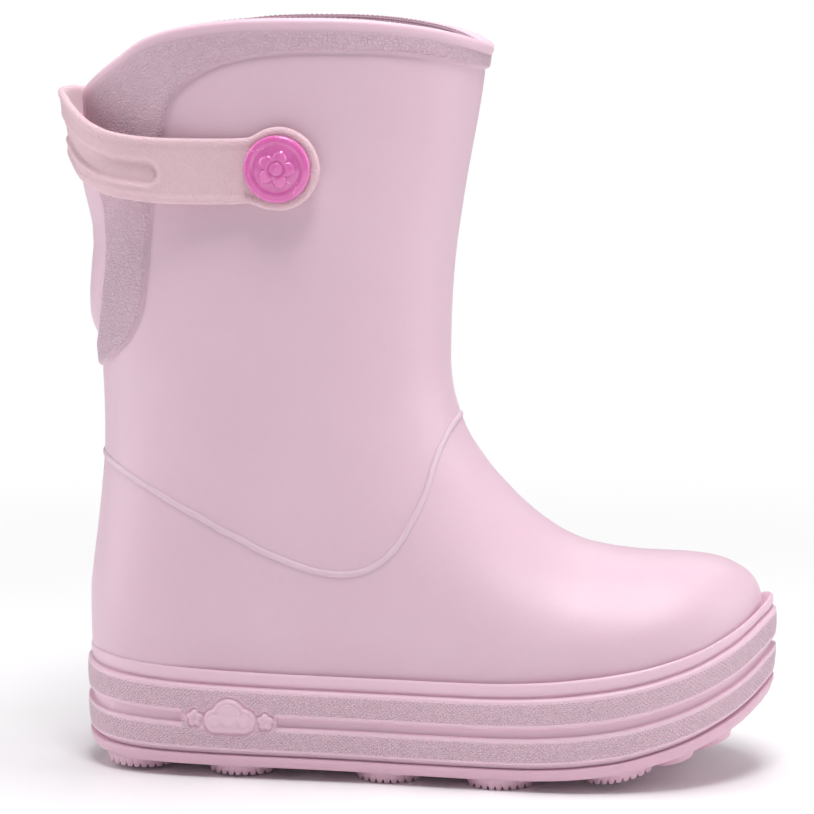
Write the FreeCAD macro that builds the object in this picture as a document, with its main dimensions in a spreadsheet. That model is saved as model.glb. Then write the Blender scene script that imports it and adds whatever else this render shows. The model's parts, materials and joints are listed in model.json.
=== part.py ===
import FreeCAD, Part
import os, math
from FreeCAD import Vector, Placement, Rotation

# Child's moulded rain boot for the right foot: foam upper shell with a raised
# collar and a notch at the back, cup-shaped midsole, outsole with round lugs,
# footbed, textile lining, and a pull strap that swings on two snap rivets.
#
# Frame: +Z up, +X towards the toe, -Y is the outer side of the foot.
# Origin: centre of the bounding box in X and Y, on the ground in Z.
# Inside this file a point along the boot is first given from the heel
# ("along"), then moved back by origin_shift.

os.makedirs("parts", exist_ok=True)
doc = FreeCAD.newDocument("rain_boot")
sheet = doc.addObject("Spreadsheet::Sheet", "Sizes")

ROWS = [
    ("origin_shift", 95.5), ("shell_wall", 3.2), ("bond_gap", 0.08),
    ("lining_gap", 0.10), ("lining_thick", 0.90), ("lining_drop", 0.6),
    ("foot_depth", 13.0), ("notch_top_half", 12.5), ("notch_low_half", 12.5),
    ("notch_floor", 177.0), ("notch_head", 240.0),
    ("welt_share", 0.145), ("channel_top", 0.455), ("channel_low", 0.560),
    ("lip_groove_top", 0.830), ("lip_share", 0.876),
    ("channel_deep", 1.3), ("groove_deep", 0.8), ("welt_groove", 0.03),
    ("lug_radius", 10.0), ("lug_count", 17.0),
    ("insole_thick", 3.6), ("insole_gap", 0.35), ("insole_inset", 1.2),
    ("pivot_along", 60.3), ("pivot_height", 176.0),
    ("strap_inner", 37.4), ("strap_thick", 3.0), ("strap_wide", 18.4),
    ("strap_rear", -9.2), ("strap_rise", 12.6), ("strap_end_radius", 11.7), ("strap_sag", 0.9), ("strap_corner", 34.0),
    ("post_radius", 3.0), ("post_play", 0.05),
    ("cap_radius", 9.4), ("cap_thick", 2.6), ("cap_gap", 0.1), ("cap_edge", 0.9),
    ("washer_radius", 6.5), ("washer_thick", 1.4), ("washer_gap", 0.1),
    ("wall_outer_at_pivot", 35.1),
]
for i, (name, value) in enumerate(ROWS, start=1):
    sheet.set("A%d" % i, name)
    sheet.set("B%d" % i, str(value))
    sheet.setAlias("B%d" % i, name)
doc.recompute()


def val(name):
    return float(sheet.get(name))


OX = val("origin_shift")

# ---------------------------------------------------------------- curves


def pchip(X, Y):
    n = len(X)
    h = [X[i + 1] - X[i] for i in range(n - 1)]
    d = [(Y[i + 1] - Y[i]) / h[i] for i in range(n - 1)]
    m = [0.0] * n
    m[0], m[-1] = d[0], d[-1]
    for i in range(1, n - 1):
        if d[i - 1] * d[i] > 0:
            w1, w2 = 2 * h[i] + h[i - 1], h[i] + 2 * h[i - 1]
            m[i] = (w1 + w2) / (w1 / d[i - 1] + w2 / d[i])

    def f(x):
        if x <= X[0]:
            return Y[0] + m[0] * (x - X[0])
        if x >= X[-1]:
            return Y[-1] + m[-1] * (x - X[-1])
        k = 0
        while X[k + 1] < x:
            k += 1
        s = (x - X[k]) / h[k]
        return ((2 * s ** 3 - 3 * s * s + 1) * Y[k] + (s ** 3 - 2 * s * s + s) * h[k] * m[k]
                + (-2 * s ** 3 + 3 * s * s) * Y[k + 1] + (s ** 3 - s * s) * h[k] * m[k + 1])
    return f


def smooth(a, b, x):
    u = min(1.0, max(0.0, (x - a) / (b - a)))
    return u * u * (3 - 2 * u)


def quarter(u, p):
    u = min(1.0, max(0.0, u))
    return max(0.0, 1 - (1 - u) ** p) ** (1.0 / p)


# side view of the upper: back line, front line, top line of the vamp
BACK = pchip([10, 20, 35, 50, 60, 70, 80, 90, 100, 110, 122, 135, 150, 165, 180, 197, 225],
             [0.4, -0.2, -0.8, -0.9, 0.1, 1.4, 2.5, 3.4, 3.8, 3.5, 2.6, 1.3, 0.7, 0.0, -0.9, -1.9, -3.2])
FRONT = pchip([112, 118, 127, 136, 145, 153, 162, 171, 180, 188, 194, 200, 208, 225],
              [105.6, 105.2, 105.3, 105.6, 106.2, 107.0, 108.3, 109.7, 111.3, 112.8, 113.8, 114.7, 115.9, 118.5])
VAMP = pchip([150, 155, 161, 167, 172, 178, 184, 189, 192.5, 194.8, 196.2],
             [64.2, 63.5, 63.1, 62.9, 62.8, 62.4, 61.4, 59.4, 57.0, 54.0, 50.0])
# distance from the instep pivot to the instep, by angle below level
PX, PZ = 150.0, 112.0
INSTEP = pchip([0, 10, 21.5, 32, 44, 54, 64.5, 77.6, 90],
               [44.4, 43.1, 42.1, 41.2, 41.0, 41.7, 43.1, 45.5, 47.8])
DOME = pchip([0, 20, 45, 70, 90], [51.0, 48.0, 42.0, 35.0, 30.6])

# sole lines by length: feather line and underside of the lip
FEATHER = pchip([-3, 0, 8, 17, 29, 43, 65, 86, 103, 117, 133, 147.5, 162, 171, 179, 185, 190, 194, 197, 200.5],
                [35.8, 35.2, 33.9, 33.0, 32.1, 31.5, 30.9, 30.7, 30.7, 30.8, 31.6, 33.2, 35.5, 37.7, 40.2, 42.8, 45.4, 48.0, 50.2, 52.2])
UNDER = pchip([-3, 0, 5, 12, 20, 40, 60, 80, 100, 114, 128, 141, 148, 157, 166, 173, 179, 185, 191, 196, 200.5],
              [7.2, 5.6, 4.7, 4.2, 3.9, 3.6, 3.4, 3.2, 3.0, 3.0, 3.1, 3.7, 4.4, 5.7, 7.9, 9.9, 12.0, 14.6, 17.6, 21.2, 25.2])

SHAFT_W = pchip([60, 95, 115, 135, 155, 175, 195, 225], [32.6, 33.4, 34.0, 34.6, 35.3, 35.8, 36.0, 36.0])
FOOT_L = pchip([0, 20, 35, 55, 80, 105, 130, 150, 160, 170, 180, 187, 191.5, 194.5, 196.2],
               [28.6, 28.7, 29.2, 30.2, 31.6, 34.7, 37.8, 38.6, 37.4, 34.6, 29.4, 23.0, 17.0, 10.6, 4.0])
FOOT_M = pchip([0, 20, 35, 55, 80, 105, 130, 150, 160, 170, 180, 187, 191.5, 194.5, 196.2],
               [28.0, 27.8, 27.6, 27.8, 28.8, 32.8, 37.4, 39.4, 38.6, 36.0, 31.0, 24.4, 18.0, 11.4, 4.4])

# plan outline of the sole, heel to toe, outer side then inner side
OUT_L = [(-2.9, 0), (-1.9, -8), (1.2, -15.5), (7, -22.8), (16, -28.2), (30, -31.4), (50, -33.0), (75, -34.4),
         (100, -37.3), (125, -40.6), (145, -41.9), (160, -40.5), (172, -36.9), (182, -31.0), (190, -23.4),
         (196, -14.3), (199.2, -7.0), (200.2, 0)]
OUT_M = [(199.3, 7.5), (196.3, 15.5), (190.5, 25.0), (183, 32.5), (173, 38.5), (160, 42.0), (145, 42.6),
         (125, 40.2), (100, 35.2), (75, 31.5), (50, 30.6), (30, 30.2), (16, 27.4), (7, 22.4), (1.2, 15.3), (-1.9, 8.0)]

TOE = 196.2


def half_width(x, z, off, side, s_in, dome, back_off, low):
    """Half width of the upper at a point of the side view."""
    foot = (FOOT_L if side < 0 else FOOT_M)(x)
    w = foot + 1.3 * smooth(FEATHER(x) - 2, FEATHER(x) + 12, z)
    if x < 150:
        w += (SHAFT_W(z) - w) * smooth(42, 112, z)
    w = max(0.6, w - off)
    rb = 30 + 23 * smooth(38, 125, z) - off
    eb = quarter((x - BACK(z) - back_off) / rb, 2.15)
    et = quarter(s_in / dome, 2.1)
    el = quarter((z - low) / 9.0, 4.0)
    return w * eb * et * el


def section(kind, a, off, n=22):
    """Closed ring of points of one section; kind level, fan or cross."""
    pts = {-1: [], 1: []}
    if kind == "level":
        s0, s1 = PX - FRONT(a) + off, PX - BACK(a) - off
        dome = (s1 - s0) / 2.0
        at = lambda s: (PX - s, a)
    elif kind == "fan":
        ca, sa = math.cos(math.radians(a)), math.sin(math.radians(a))
        at = lambda s: (PX - s * ca, PZ - s * sa)
        s0 = INSTEP(a) + off
        lo, hi = s0 + 5.0, 400.0
        for _ in range(60):
            mid = (lo + hi) / 2
            x, z = at(mid)
            if x > BACK(z) + off and z > FEATHER(x) - val("foot_depth") + off:
                lo = mid
            else:
                hi = mid
        s1 = lo
        dome = DOME(a) - off
    else:
        k = (TOE - off * 1.05 - PX) / (TOE - PX)
        xin = PX + (a - PX) * k
        s0 = PZ - VAMP(a) + off
        s1 = PZ - (FEATHER(a) - val("foot_depth")) - off
        dome = VAMP(a) - FEATHER(a) + 1.0 - off * 0.6
        dome = max(dome, 4.0)
        at = lambda s: (a, PZ - s)
    for side in (-1, 1):
        for i in range(n + 1):
            v = i / float(n)
            s = s0 + (s1 - s0) * (1 - math.cos(math.pi * v)) / 2
            x, z = at(s)
            low = FEATHER(x) - val("foot_depth") + off
            y = 0.0 if i in (0, n) else half_width(x, z, off, side, s - s0, dome, off, low)
            if kind == "cross":
                x = xin
            pts[side].append(Vector(x - OX, side * y, z))
    return pts[-1] + pts[1][-2:0:-1]


STATIONS = ([("level", z) for z in (225, 212, 196, 178, 160, 142, 126)] + [("fan", a) for a in
            (0, 9, 17, 24, 29, 34, 40, 48, 57, 67, 78, 90)] +
            [("cross", x) for x in (158, 166, 174, 181, 187, 191.5, 194.5)])


def upper_loft(off):
    """Solid bounded by the upper's outer surface moved inwards by off."""
    rows = []
    for kind, a in STATIONS:
        ring = section(kind, a, off)
        rows.append(ring + [ring[0]])
    skin = Part.BSplineSurface()
    skin.interpolate(rows)
    face = skin.toShape()
    ends = [Part.Face(Part.Wire([e])) for e in face.Edges if e.isClosed()]
    shell = Part.makeShell([face] + ends)
    shell.sewShape(1e-4)
    solid = Part.Solid(shell)
    if solid.Volume < 0:
        solid.reverse()
    if not solid.isValid():
        raise RuntimeError("upper form not valid at offset %g" % off)
    return solid


def prism_y(pts):
    """Solid from a side-view polygon, across the whole width."""
    vs = [Vector(x - OX, -70, z) for x, z in pts]
    w = Part.makePolygon(vs + [vs[0]])
    return Part.Face(w).extrude(Vector(0, 140, 0))


def side_curve(pts):
    c = Part.BSplineCurve()
    c.interpolate(Points=[Vector(x - OX, -70, z) for x, z in pts])
    return c.toShape()


def strip(top, low, x0=-12.0, x1=210.0, n=40):
    """Side-view band between two height functions."""
    xs = [x0 + (x1 - x0) * i / n for i in range(n + 1)]
    up, dn = [(x, top(x)) for x in xs], [(x, low(x)) for x in xs]
    P = lambda q: Vector(q[0] - OX, -70, q[1])
    w = Part.Wire([side_curve(up), Part.makeLine(P(up[-1]), P(dn[-1])), side_curve(dn), Part.makeLine(P(dn[0]), P(up[0]))])
    return Part.Face(w).extrude(Vector(0, 140, 0))


def plan_prism(points, z0, z1):
    vs = [Vector(x - OX, y, z0) for x, y in points]
    c = Part.BSplineCurve()
    c.interpolate(Points=vs, PeriodicFlag=True)
    f = Part.Face(Part.Wire([c.toShape()]))
    return f.extrude(Vector(0, 0, z1 - z0))


def inset(points, d):
    """Plan outline moved inwards by d along its normals."""
    n = len(points)
    out = []
    for i in range(n):
        x0, y0 = points[i - 1]
        x1, y1 = points[(i + 1) % n]
        tx, ty = x1 - x0, y1 - y0
        L = math.hypot(tx, ty)
        out.append((points[i][0] - ty / L * d, points[i][1] + tx / L * d))
    return out


OUTLINE = OUT_L + OUT_M


def add(name, shape, label=None):
    o = doc.addObject("Part::Feature", name)
    o.Shape = shape
    o.Placement = Placement(Vector(0, 0, 0), Rotation())
    if label:
        o.Label = label
    return o


# ---------------------------------------------------------------- upper shell
RIM = [(0.6, 196.5), (3.5, 199.3), (7, 202.2), (10.5, 204.8), (14, 207.2), (17, 209.4), (20.3, 211.5), (23, 212.7),
       (26.3, 213.8), (32, 215.2), (38, 216.2), (44, 216.9), (50, 217.4), (60, 217.7), (72, 217.7), (83, 217.3),
       (94, 216.2), (100, 215.3), (105.4, 214.2), (111, 212.6), (115, 210.9), (118.5, 208.6)]


def rim_cutter(drop):
    """Everything above the rim line, seen from the side."""
    P = lambda x, z: Vector(x - OX, -70, z - drop)
    rim = side_curve([(-30, 191.2 - drop), (-14, 191.4 - drop), (-5, 193.2 - drop)] + [(x, z - drop) for x, z in RIM]
                     + [(124, 205.5 - drop), (135, 203.0 - drop)])
    w = Part.Wire([rim, Part.makeLine(P(135, 203.0), P(135, 262)), Part.makeLine(P(135, 262), P(-30, 262)),
                   Part.makeLine(P(-30, 262), P(-30, 191.2))])
    return Part.Face(w).extrude(Vector(0, 140, 0))


def notch_cutter(extra):
    t, l, f, hd = val("notch_top_half") + extra, val("notch_low_half") + extra, val("notch_floor") - extra, val("notch_head")
    z1 = f + l
    edge_l = Vector(-40, -l, z1)
    edge_r = Vector(-40, l, z1)
    arc = Part.Arc(edge_r, Vector(-40, 0, f), edge_l).toShape()
    w = Part.Wire([Part.makeLine(edge_l, Vector(-40, -t, hd)), Part.makeLine(Vector(-40, -t, hd), Vector(-40, t, hd)),
                   Part.makeLine(Vector(-40, t, hd), edge_r), arc])
    face = Part.Face(w)
    face.translate(Vector(-OX - 20, 0, 0))
    return face.extrude(Vector(90, 0, 0))


wall = val("shell_wall")
outer = upper_loft(0.0)
inner = upper_loft(wall)
outer_f = add("UpperOuterForm", outer, "upper_outer_form")
inner_f = add("UpperInnerForm", inner, "upper_inner_form")
rim_f = add("RimTool", rim_cutter(0.0), "rim_tool")
notch_f = add("NotchTool", notch_cutter(0.0), "notch_tool")


def cut(name, base, tool, label=None):
    o = doc.addObject("Part::Cut", name)
    o.Base, o.Tool = base, tool
    if label:
        o.Label = label
    return o


def post_hole(name, grow, label):
    """Cross bore through both walls on the strap's axis."""
    c = doc.addObject("Part::Cylinder", name)
    c.Label = label
    c.setExpression("Radius", "Sizes.post_radius + Sizes.post_play" + grow)
    c.setExpression("Height", "120")
    c.setExpression("Placement.Base.x", "Sizes.pivot_along - Sizes.origin_shift")
    c.setExpression("Placement.Base.y", "60")
    c.setExpression("Placement.Base.z", "Sizes.pivot_height")
    c.Placement = Placement(Vector(val("pivot_along") - OX, 60, val("pivot_height")), Rotation(Vector(1, 0, 0), 90))
    return c


hole_shell = post_hole("ShellBore", "", "shell_bore")
hole_lining = post_hole("LiningBore", " + 0.6", "lining_bore")
hole_strap = post_hole("StrapBore", "", "strap_bore")

s1 = cut("ShellHollow", outer_f, inner_f, "shell_hollow")
s2 = cut("ShellRim", s1, rim_f, "shell_rim")
s3 = cut("ShellNotch", s2, notch_f, "shell_notch")
upper_shell = cut("UpperShell", s3, hole_shell, "upper_shell")

# ---------------------------------------------------------------- lining
lo = val("lining_gap") + wall
lin_out = add("LiningOuterForm", upper_loft(lo), "lining_outer_form")
lin_in = add("LiningInnerForm", upper_loft(lo + val("lining_thick")), "lining_inner_form")
l1 = cut("LiningHollow", lin_out, lin_in, "lining_hollow")
l2 = cut("LiningRim", l1, add("LiningRimTool", rim_cutter(val("lining_drop")), "lining_rim_tool"), "lining_rim")
l3 = cut("LiningNotch", l2, add("LiningNotchTool", notch_cutter(0.5), "lining_notch_tool"), "lining_notch")
lining = cut("Lining", l3, hole_lining, "lining")

# ---------------------------------------------------------------- sole
g = val("bond_gap")
h_of = lambda x: FEATHER(x) - UNDER(x)
level = lambda f: (lambda x: FEATHER(x) - f * h_of(x))
cup_tool = add("CupTool", upper_loft(-g), "cup_tool")
side = plan_prism(OUTLINE, -5, 70)
mid_raw = side.common(strip(level(0.0), level(val("lip_share"))))


def ring_cut(f0, f1, deep):
    ring = plan_prism(inset(OUTLINE, -6), -6, 71).cut(plan_prism(inset(OUTLINE, deep), -6, 71))
    return ring.common(strip(level(f0), level(f1)))


mid_form = add("MidsoleForm", mid_raw, "midsole_form")
chan = add("ChannelTool", ring_cut(val("channel_top"), val("channel_low"), val("channel_deep")), "channel_tool")
welt = add("WeltTool", ring_cut(val("welt_share") - val("welt_groove"), val("welt_share"), val("groove_deep")), "welt_tool")
lipg = add("LipTool", ring_cut(val("lip_groove_top"), val("lip_share") + 0.01, val("groove_deep")), "lip_tool")
m1 = cut("MidsoleCup", mid_form, cup_tool, "midsole_cup")
m2 = cut("MidsoleChannel", m1, chan, "midsole_channel")
m3 = cut("MidsoleWelt", m2, welt, "midsole_welt")
midsole = cut("Midsole", m3, lipg, "midsole")

plate_top = lambda x: FEATHER(x) - val("lip_share") * h_of(x) - g
plate = plan_prism(inset(OUTLINE, 0.25), -5, 70).common(strip(plate_top, UNDER))
LUGS = [(16, -14.5, 1), (46.5, -19.5, 1), (90, -23.0, 1), (122.5, -28.0, 1), (156.5, -27.0, 1),
        (16, 14.0, 1), (47, 17.5, 1), (90, 20.0, 1), (122.5, 26.5, 1), (157, 29.0, 1),
        (140, 0.0, 1), (105, -1.0, 1), (177, 0.5, 0.9), (172, -25.5, 0.53), (182.5, -18.5, 0.53),
        (173, 26.5, 0.53), (183.5, 19.0, 0.53)]
rl = val("lug_radius")
shapes = [plate]
for i, (lx, ly, part) in enumerate(LUGS):
    r = rl * part
    flat = 85 < lx < 130
    c = Part.makeCylinder(r, 60, Vector(lx - OX, ly, 0.0 if flat else -20))
    under = lambda x: UNDER(x) - min(3.0, UNDER(x)) if x < 146 else UNDER(x) - 3.0 + 0.6 * smooth(146, 172, x)
    # the lugs under the ball of the foot end in one level plane, the ground
    body = c.common(strip(lambda x: UNDER(x) + 1.0, lambda x: -5.0 if flat else max(0.05, under(x))))
    shapes.append(body)
out_solid = shapes[0].fuse(shapes[1:]).removeSplitter()
outsole = add("Outsole", out_solid, "outsole")

# ---------------------------------------------------------------- footbed
io = wall + val("lining_gap") + val("lining_thick") + val("insole_gap")


def foot_outline(off):
    xs = [3, 8, 15, 25, 40, 60, 80, 100, 120, 135, 150, 160, 170, 178, 184, 188]
    lat, med = [], []
    for x in xs:
        z = FEATHER(x) - val("foot_depth") + 9.0
        rb = 30 + 23 * smooth(38, 125, z)
        e = quarter((x - BACK(z)) / rb, 2.15)
        lat.append((x, -FOOT_L(x) * e))
        med.append((x, FOOT_M(x) * e))
    ring = [(BACK(22) + 0.1, 0)] + lat + [(TOE - 4.0, -9.5), (TOE - 2.5, 0), (TOE - 4.0, 10.0)] + med[::-1]
    return inset(ring, off)


floor = lambda x: FEATHER(x) - val("foot_depth") + io + 0.2
tread = lambda x: floor(x) + val("insole_thick")
foot_plan = plan_prism(foot_outline(io + val("insole_inset") + 1.0), 0, 90)
insole_blank = foot_plan.common(strip(tread, floor, -2.0, 200.0))
insole = add("Insole", insole_blank.common(upper_loft(io)), "insole")

# ---------------------------------------------------------------- strap
yi, th = val("strap_inner"), val("strap_thick")
xr, xp, zp = val("strap_rear"), val("pivot_along"), val("pivot_height")
hw = val("strap_wide") / 2
rise = val("strap_rise")


def u_path(ro, y, xrear):
    """U in plan: two straight arms joined round the back."""
    xc = xrear + ro
    pts = []
    for i in range(0, 41):
        a = math.radians(90 - 180.0 * i / 40)
        ca, sa = math.cos(a), math.sin(a)
        pts.append((xc - ro * abs(ca) ** 0.92, y * (1 if sa > 0 else -1) * abs(sa) ** 0.92))
    return pts


corner = val("strap_corner")
outer_u = u_path(corner, yi + th, xr)
inner_u = u_path(corner - th, yi, xr + th)
ring_pts = [(xp, yi + th)] + outer_u + [(xp, -yi - th), (xp, -yi)] + inner_u[::-1] + [(xp, yi)]
vs = [Vector(x - OX, y, 150) for x, y in ring_pts]
u_prism = Part.Face(Part.makePolygon(vs + [vs[0]])).extrude(Vector(0, 0, 70))
mid = lambda x: zp - val("strap_sag") + rise * (1 - smooth(-7.0, 20.0, x))
xs = [xr - 6 + (xp - xr + 6) * i / 60.0 for i in range(61)]
band = strip(lambda x: mid(x) + hw, lambda x: mid(x) - hw, xr - 6, xp, 26)
arms = u_prism.common(band)
strap_band = add("StrapBand", arms, "strap_band")


def pad(name, label, y):
    c = doc.addObject("Part::Cylinder", name)
    c.Label = label
    c.setExpression("Radius", "Sizes.strap_end_radius")
    c.setExpression("Height", "Sizes.strap_thick")
    c.Placement = Placement(Vector(xp - OX, y, zp), Rotation(Vector(1, 0, 0), 90))
    c.setExpression("Placement.Base.x", "Sizes.pivot_along - Sizes.origin_shift")
    c.setExpression("Placement.Base.z", "Sizes.pivot_height")
    return c


pad_r = pad("StrapEyeRight", "strap_eye_right", -yi)
pad_r.setExpression("Placement.Base.y", "-Sizes.strap_inner")
pad_l = pad("StrapEyeLeft", "strap_eye_left", yi + th)
pad_l.setExpression("Placement.Base.y", "Sizes.strap_inner + Sizes.strap_thick")
fuse = doc.addObject("Part::MultiFuse", "StrapBlank")
fuse.Shapes = [strap_band, pad_r, pad_l]
fuse.Label = "strap_blank"
strap = cut("Strap", fuse, hole_strap, "strap")

# ---------------------------------------------------------------- snap rivets


def role_plane(body, role):
    for f in body.Origin.OriginFeatures:
        if f.Role == role:
            return f


def rivet(name, label, sign):
    """Cap and post in one turned piece; sketch X is the radius, Y is the axis."""
    b = doc.addObject("PartDesign::Body", name)
    b.Label = label
    sk = b.newObject("Sketcher::SketchObject", name + "Profile")
    sk.AttachmentSupport = [(role_plane(b, "XY_Plane"), "")]
    sk.MapMode = "FlatFace"
    L = lambda x0, y0, x1, y1: Part.LineSegment(Vector(x0, y0, 0), Vector(x1, y1, 0))
    r, R, t0 = val("post_radius"), val("cap_radius"), val("strap_inner") + val("strap_thick") + val("cap_gap")
    tt = val("cap_thick")
    e = val("cap_edge")
    tail = val("wall_outer_at_pivot") - wall - val("lining_gap") - val("lining_thick") - val("washer_gap") - val("washer_thick") - 0.5
    P = [(0, tail), (r, tail), (r, t0), (R, t0), (R, t0 + tt - e), (R - e, t0 + tt), (0, t0 + tt)]
    ids = []
    for i in range(len(P)):
        a, c = P[i], P[(i + 1) % len(P)]
        ids.append(sk.addGeometry(L(a[0], a[1], c[0], c[1]), False))
    for i in range(len(P)):
        sk.addConstraint(__import__("Sketcher").Constraint("Coincident", i, 2, (i + 1) % len(P), 1))
    S = __import__("Sketcher").Constraint
    sk.addConstraint(S("PointOnObject", 0, 1, -2))
    sk.addConstraint(S("PointOnObject", 6, 1, -2))
    sk.addConstraint(S("Horizontal", 0))
    sk.addConstraint(S("Vertical", 1))
    sk.addConstraint(S("Horizontal", 2))
    sk.addConstraint(S("Vertical", 3))
    sk.addConstraint(S("Horizontal", 5))

    def dim(kind, args, v, expr, nm):
        i = sk.addConstraint(S(kind, *(args + (v,))))
        sk.renameConstraint(i, nm)
        sk.setExpression("Constraints." + nm, expr)
    dim("DistanceX", (-1, 1, 1, 1), r, "Sizes.post_radius", "post")
    dim("DistanceX", (-1, 1, 3, 1), R, "Sizes.cap_radius", "cap")
    dim("DistanceY", (-1, 1, 2, 1), t0, "Sizes.strap_inner + Sizes.strap_thick + Sizes.cap_gap", "seat")
    dim("DistanceY", (2, 1, 5, 1), tt, "Sizes.cap_thick", "thick")
    dim("DistanceY", (4, 1, 4, 2), e, "Sizes.cap_edge", "edgeup")
    dim("DistanceX", (4, 2, 4, 1), e, "Sizes.cap_edge", "edgein")
    dim("DistanceY", (-1, 1, 0, 1), tail, "Sizes.wall_outer_at_pivot - Sizes.shell_wall - Sizes.lining_gap - Sizes.lining_thick"
        " - Sizes.washer_gap - Sizes.washer_thick - 0.5", "tail")
    rv = b.newObject("PartDesign::Revolution", name + "Turn")
    rv.Profile = sk
    rv.ReferenceAxis = (sk, ["V_Axis"])
    rv.Angle = 360
    ang = 0 if sign > 0 else 180
    b.Placement = Placement(Vector(xp - OX, 0, zp), Rotation(Vector(0, 0, 1), ang))
    b.setExpression("Placement.Base.x", "Sizes.pivot_along - Sizes.origin_shift")
    b.setExpression("Placement.Base.z", "Sizes.pivot_height")
    return b


def washer(name, label, sign):
    b = doc.addObject("PartDesign::Body", name)
    b.Label = label
    sk = b.newObject("Sketcher::SketchObject", name + "Ring")
    sk.AttachmentSupport = [(role_plane(b, "XZ_Plane"), "")]
    sk.MapMode = "FlatFace"
    S = __import__("Sketcher").Constraint
    for k, (nm, v, expr) in enumerate((("rim", val("washer_radius"), "Sizes.washer_radius"),
                                       ("bore", val("post_radius") + 0.02, "Sizes.post_radius + 0.02"))):
        sk.addGeometry(Part.Circle(Vector(0, 0, 0), Vector(0, 0, 1), v), False)
        sk.addConstraint(S("Coincident", k, 3, -1, 1))
        i = sk.addConstraint(S("Radius", k, v))
        sk.renameConstraint(i, nm)
        sk.setExpression("Constraints." + nm, expr)
    pd = b.newObject("PartDesign::Pad", name + "Pad")
    pd.Profile = sk
    pd.setExpression("Length", "Sizes.washer_thick")
    seat = val("wall_outer_at_pivot") - wall - val("lining_gap") - val("lining_thick") - val("washer_gap")
    ang = 0 if sign > 0 else 180
    b.Placement = Placement(Vector(xp - OX, sign * seat, zp), Rotation(Vector(0, 0, 1), ang))
    b.setExpression("Placement.Base.x", "Sizes.pivot_along - Sizes.origin_shift")
    b.setExpression("Placement.Base.z", "Sizes.pivot_height")
    return b


rivet_r = rivet("RivetRight", "rivet_cap_right", -1)
rivet_l = rivet("RivetLeft", "rivet_cap_left", 1)
washer_r = washer("WasherRight", "rivet_washer_right", -1)
washer_l = washer("WasherLeft", "rivet_washer_left", 1)

doc.recompute()

# ---------------------------------------------------------------- checks and files
NODES = [upper_shell, lining, midsole, outsole, insole, strap, rivet_r, rivet_l, washer_r, washer_l]
bad = [o.Name for o in doc.Objects if "Invalid" in o.State or "Error" in o.State]
if bad:
    raise RuntimeError("failed objects: %s" % bad)
box = FreeCAD.BoundBox()
for o in NODES:
    sh = o.Shape
    if sh.isNull() or not sh.isValid() or not sh.Solids:
        raise RuntimeError("bad shape: " + o.Label)
    bb = sh.optimalBoundingBox()
    box.add(bb)
    print("%-20s solids %d faces %d volume %.1f cm3 box %.2f %.2f %.2f  %.2f %.2f %.2f" % (
        o.Label, len(sh.Solids), len(sh.Faces), sh.Volume / 1000.0, bb.XMin, bb.YMin, bb.ZMin, bb.XMax, bb.YMax, bb.ZMax))
print("whole", box)
for o in NODES:
    o.Shape.exportStep("parts/%s.step" % o.Label)
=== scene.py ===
import json
import math
import bpy
import numpy as np
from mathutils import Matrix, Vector


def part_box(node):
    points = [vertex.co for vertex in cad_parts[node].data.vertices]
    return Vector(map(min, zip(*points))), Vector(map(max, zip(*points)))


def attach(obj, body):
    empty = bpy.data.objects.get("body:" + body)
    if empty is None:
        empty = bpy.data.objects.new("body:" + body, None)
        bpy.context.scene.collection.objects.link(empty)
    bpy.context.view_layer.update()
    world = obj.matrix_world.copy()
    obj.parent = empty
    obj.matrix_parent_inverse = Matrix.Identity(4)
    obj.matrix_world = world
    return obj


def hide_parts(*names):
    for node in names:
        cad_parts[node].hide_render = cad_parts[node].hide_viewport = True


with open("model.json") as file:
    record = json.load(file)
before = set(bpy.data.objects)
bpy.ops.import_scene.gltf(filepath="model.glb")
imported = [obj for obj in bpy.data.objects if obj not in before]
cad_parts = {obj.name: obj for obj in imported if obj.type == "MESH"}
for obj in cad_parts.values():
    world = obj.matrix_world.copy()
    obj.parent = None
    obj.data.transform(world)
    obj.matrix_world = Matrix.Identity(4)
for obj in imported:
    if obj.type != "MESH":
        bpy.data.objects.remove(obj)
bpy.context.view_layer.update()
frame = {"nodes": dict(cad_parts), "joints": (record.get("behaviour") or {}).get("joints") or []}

# Everything below works in millimetres along the boot, from the heel, and is
# moved into the frame by OX. OX and the strap's pivot come from the frame.
OX = 200.2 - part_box("midsole")[1].x * 1000.0
swing = [j for j in frame["joints"] if j["name"] == "strap_swing"][0]
PIV_X = swing["pos_m"][0] * 1000.0 + OX
PIV_Z = swing["pos_m"][2] * 1000.0
CAP_OUT = -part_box("rivet_cap_right")[0].y * 1000.0
STRAP_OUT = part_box("strap")[1].y * 1000.0

# ------------------------------------------------------------------ helpers


def pchip(X, Y):
    X, Y = np.array(X, float), np.array(Y, float)
    h = np.diff(X)
    d = np.diff(Y) / h
    m = np.zeros(len(X))
    m[0], m[-1] = d[0], d[-1]
    for i in range(1, len(X) - 1):
        if d[i - 1] * d[i] > 0:
            w1, w2 = 2 * h[i] + h[i - 1], h[i] + 2 * h[i - 1]
            m[i] = (w1 + w2) / (w1 / d[i - 1] + w2 / d[i])

    def f(x):
        x = np.asarray(x, float)
        k = np.clip(np.searchsorted(X, x) - 1, 0, len(h) - 1)
        s = (x - X[k]) / h[k]
        r = ((2 * s ** 3 - 3 * s * s + 1) * Y[k] + (s ** 3 - 2 * s * s + s) * h[k] * m[k]
             + (-2 * s ** 3 + 3 * s * s) * Y[k + 1] + (s ** 3 - s * s) * h[k] * m[k + 1])
        r = np.where(x < X[0], Y[0] + m[0] * (x - X[0]), r)
        return np.where(x > X[-1], Y[-1] + m[-1] * (x - X[-1]), r)
    return f


def sm(a, b, x):
    u = np.clip((np.asarray(x, float) - a) / (b - a), 0, 1)
    return u * u * (3 - 2 * u)


def quarter(u, p):
    u = np.clip(u, 0, 1)
    return np.maximum(0.0, 1 - (1 - u) ** p) ** (1.0 / p)


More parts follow.
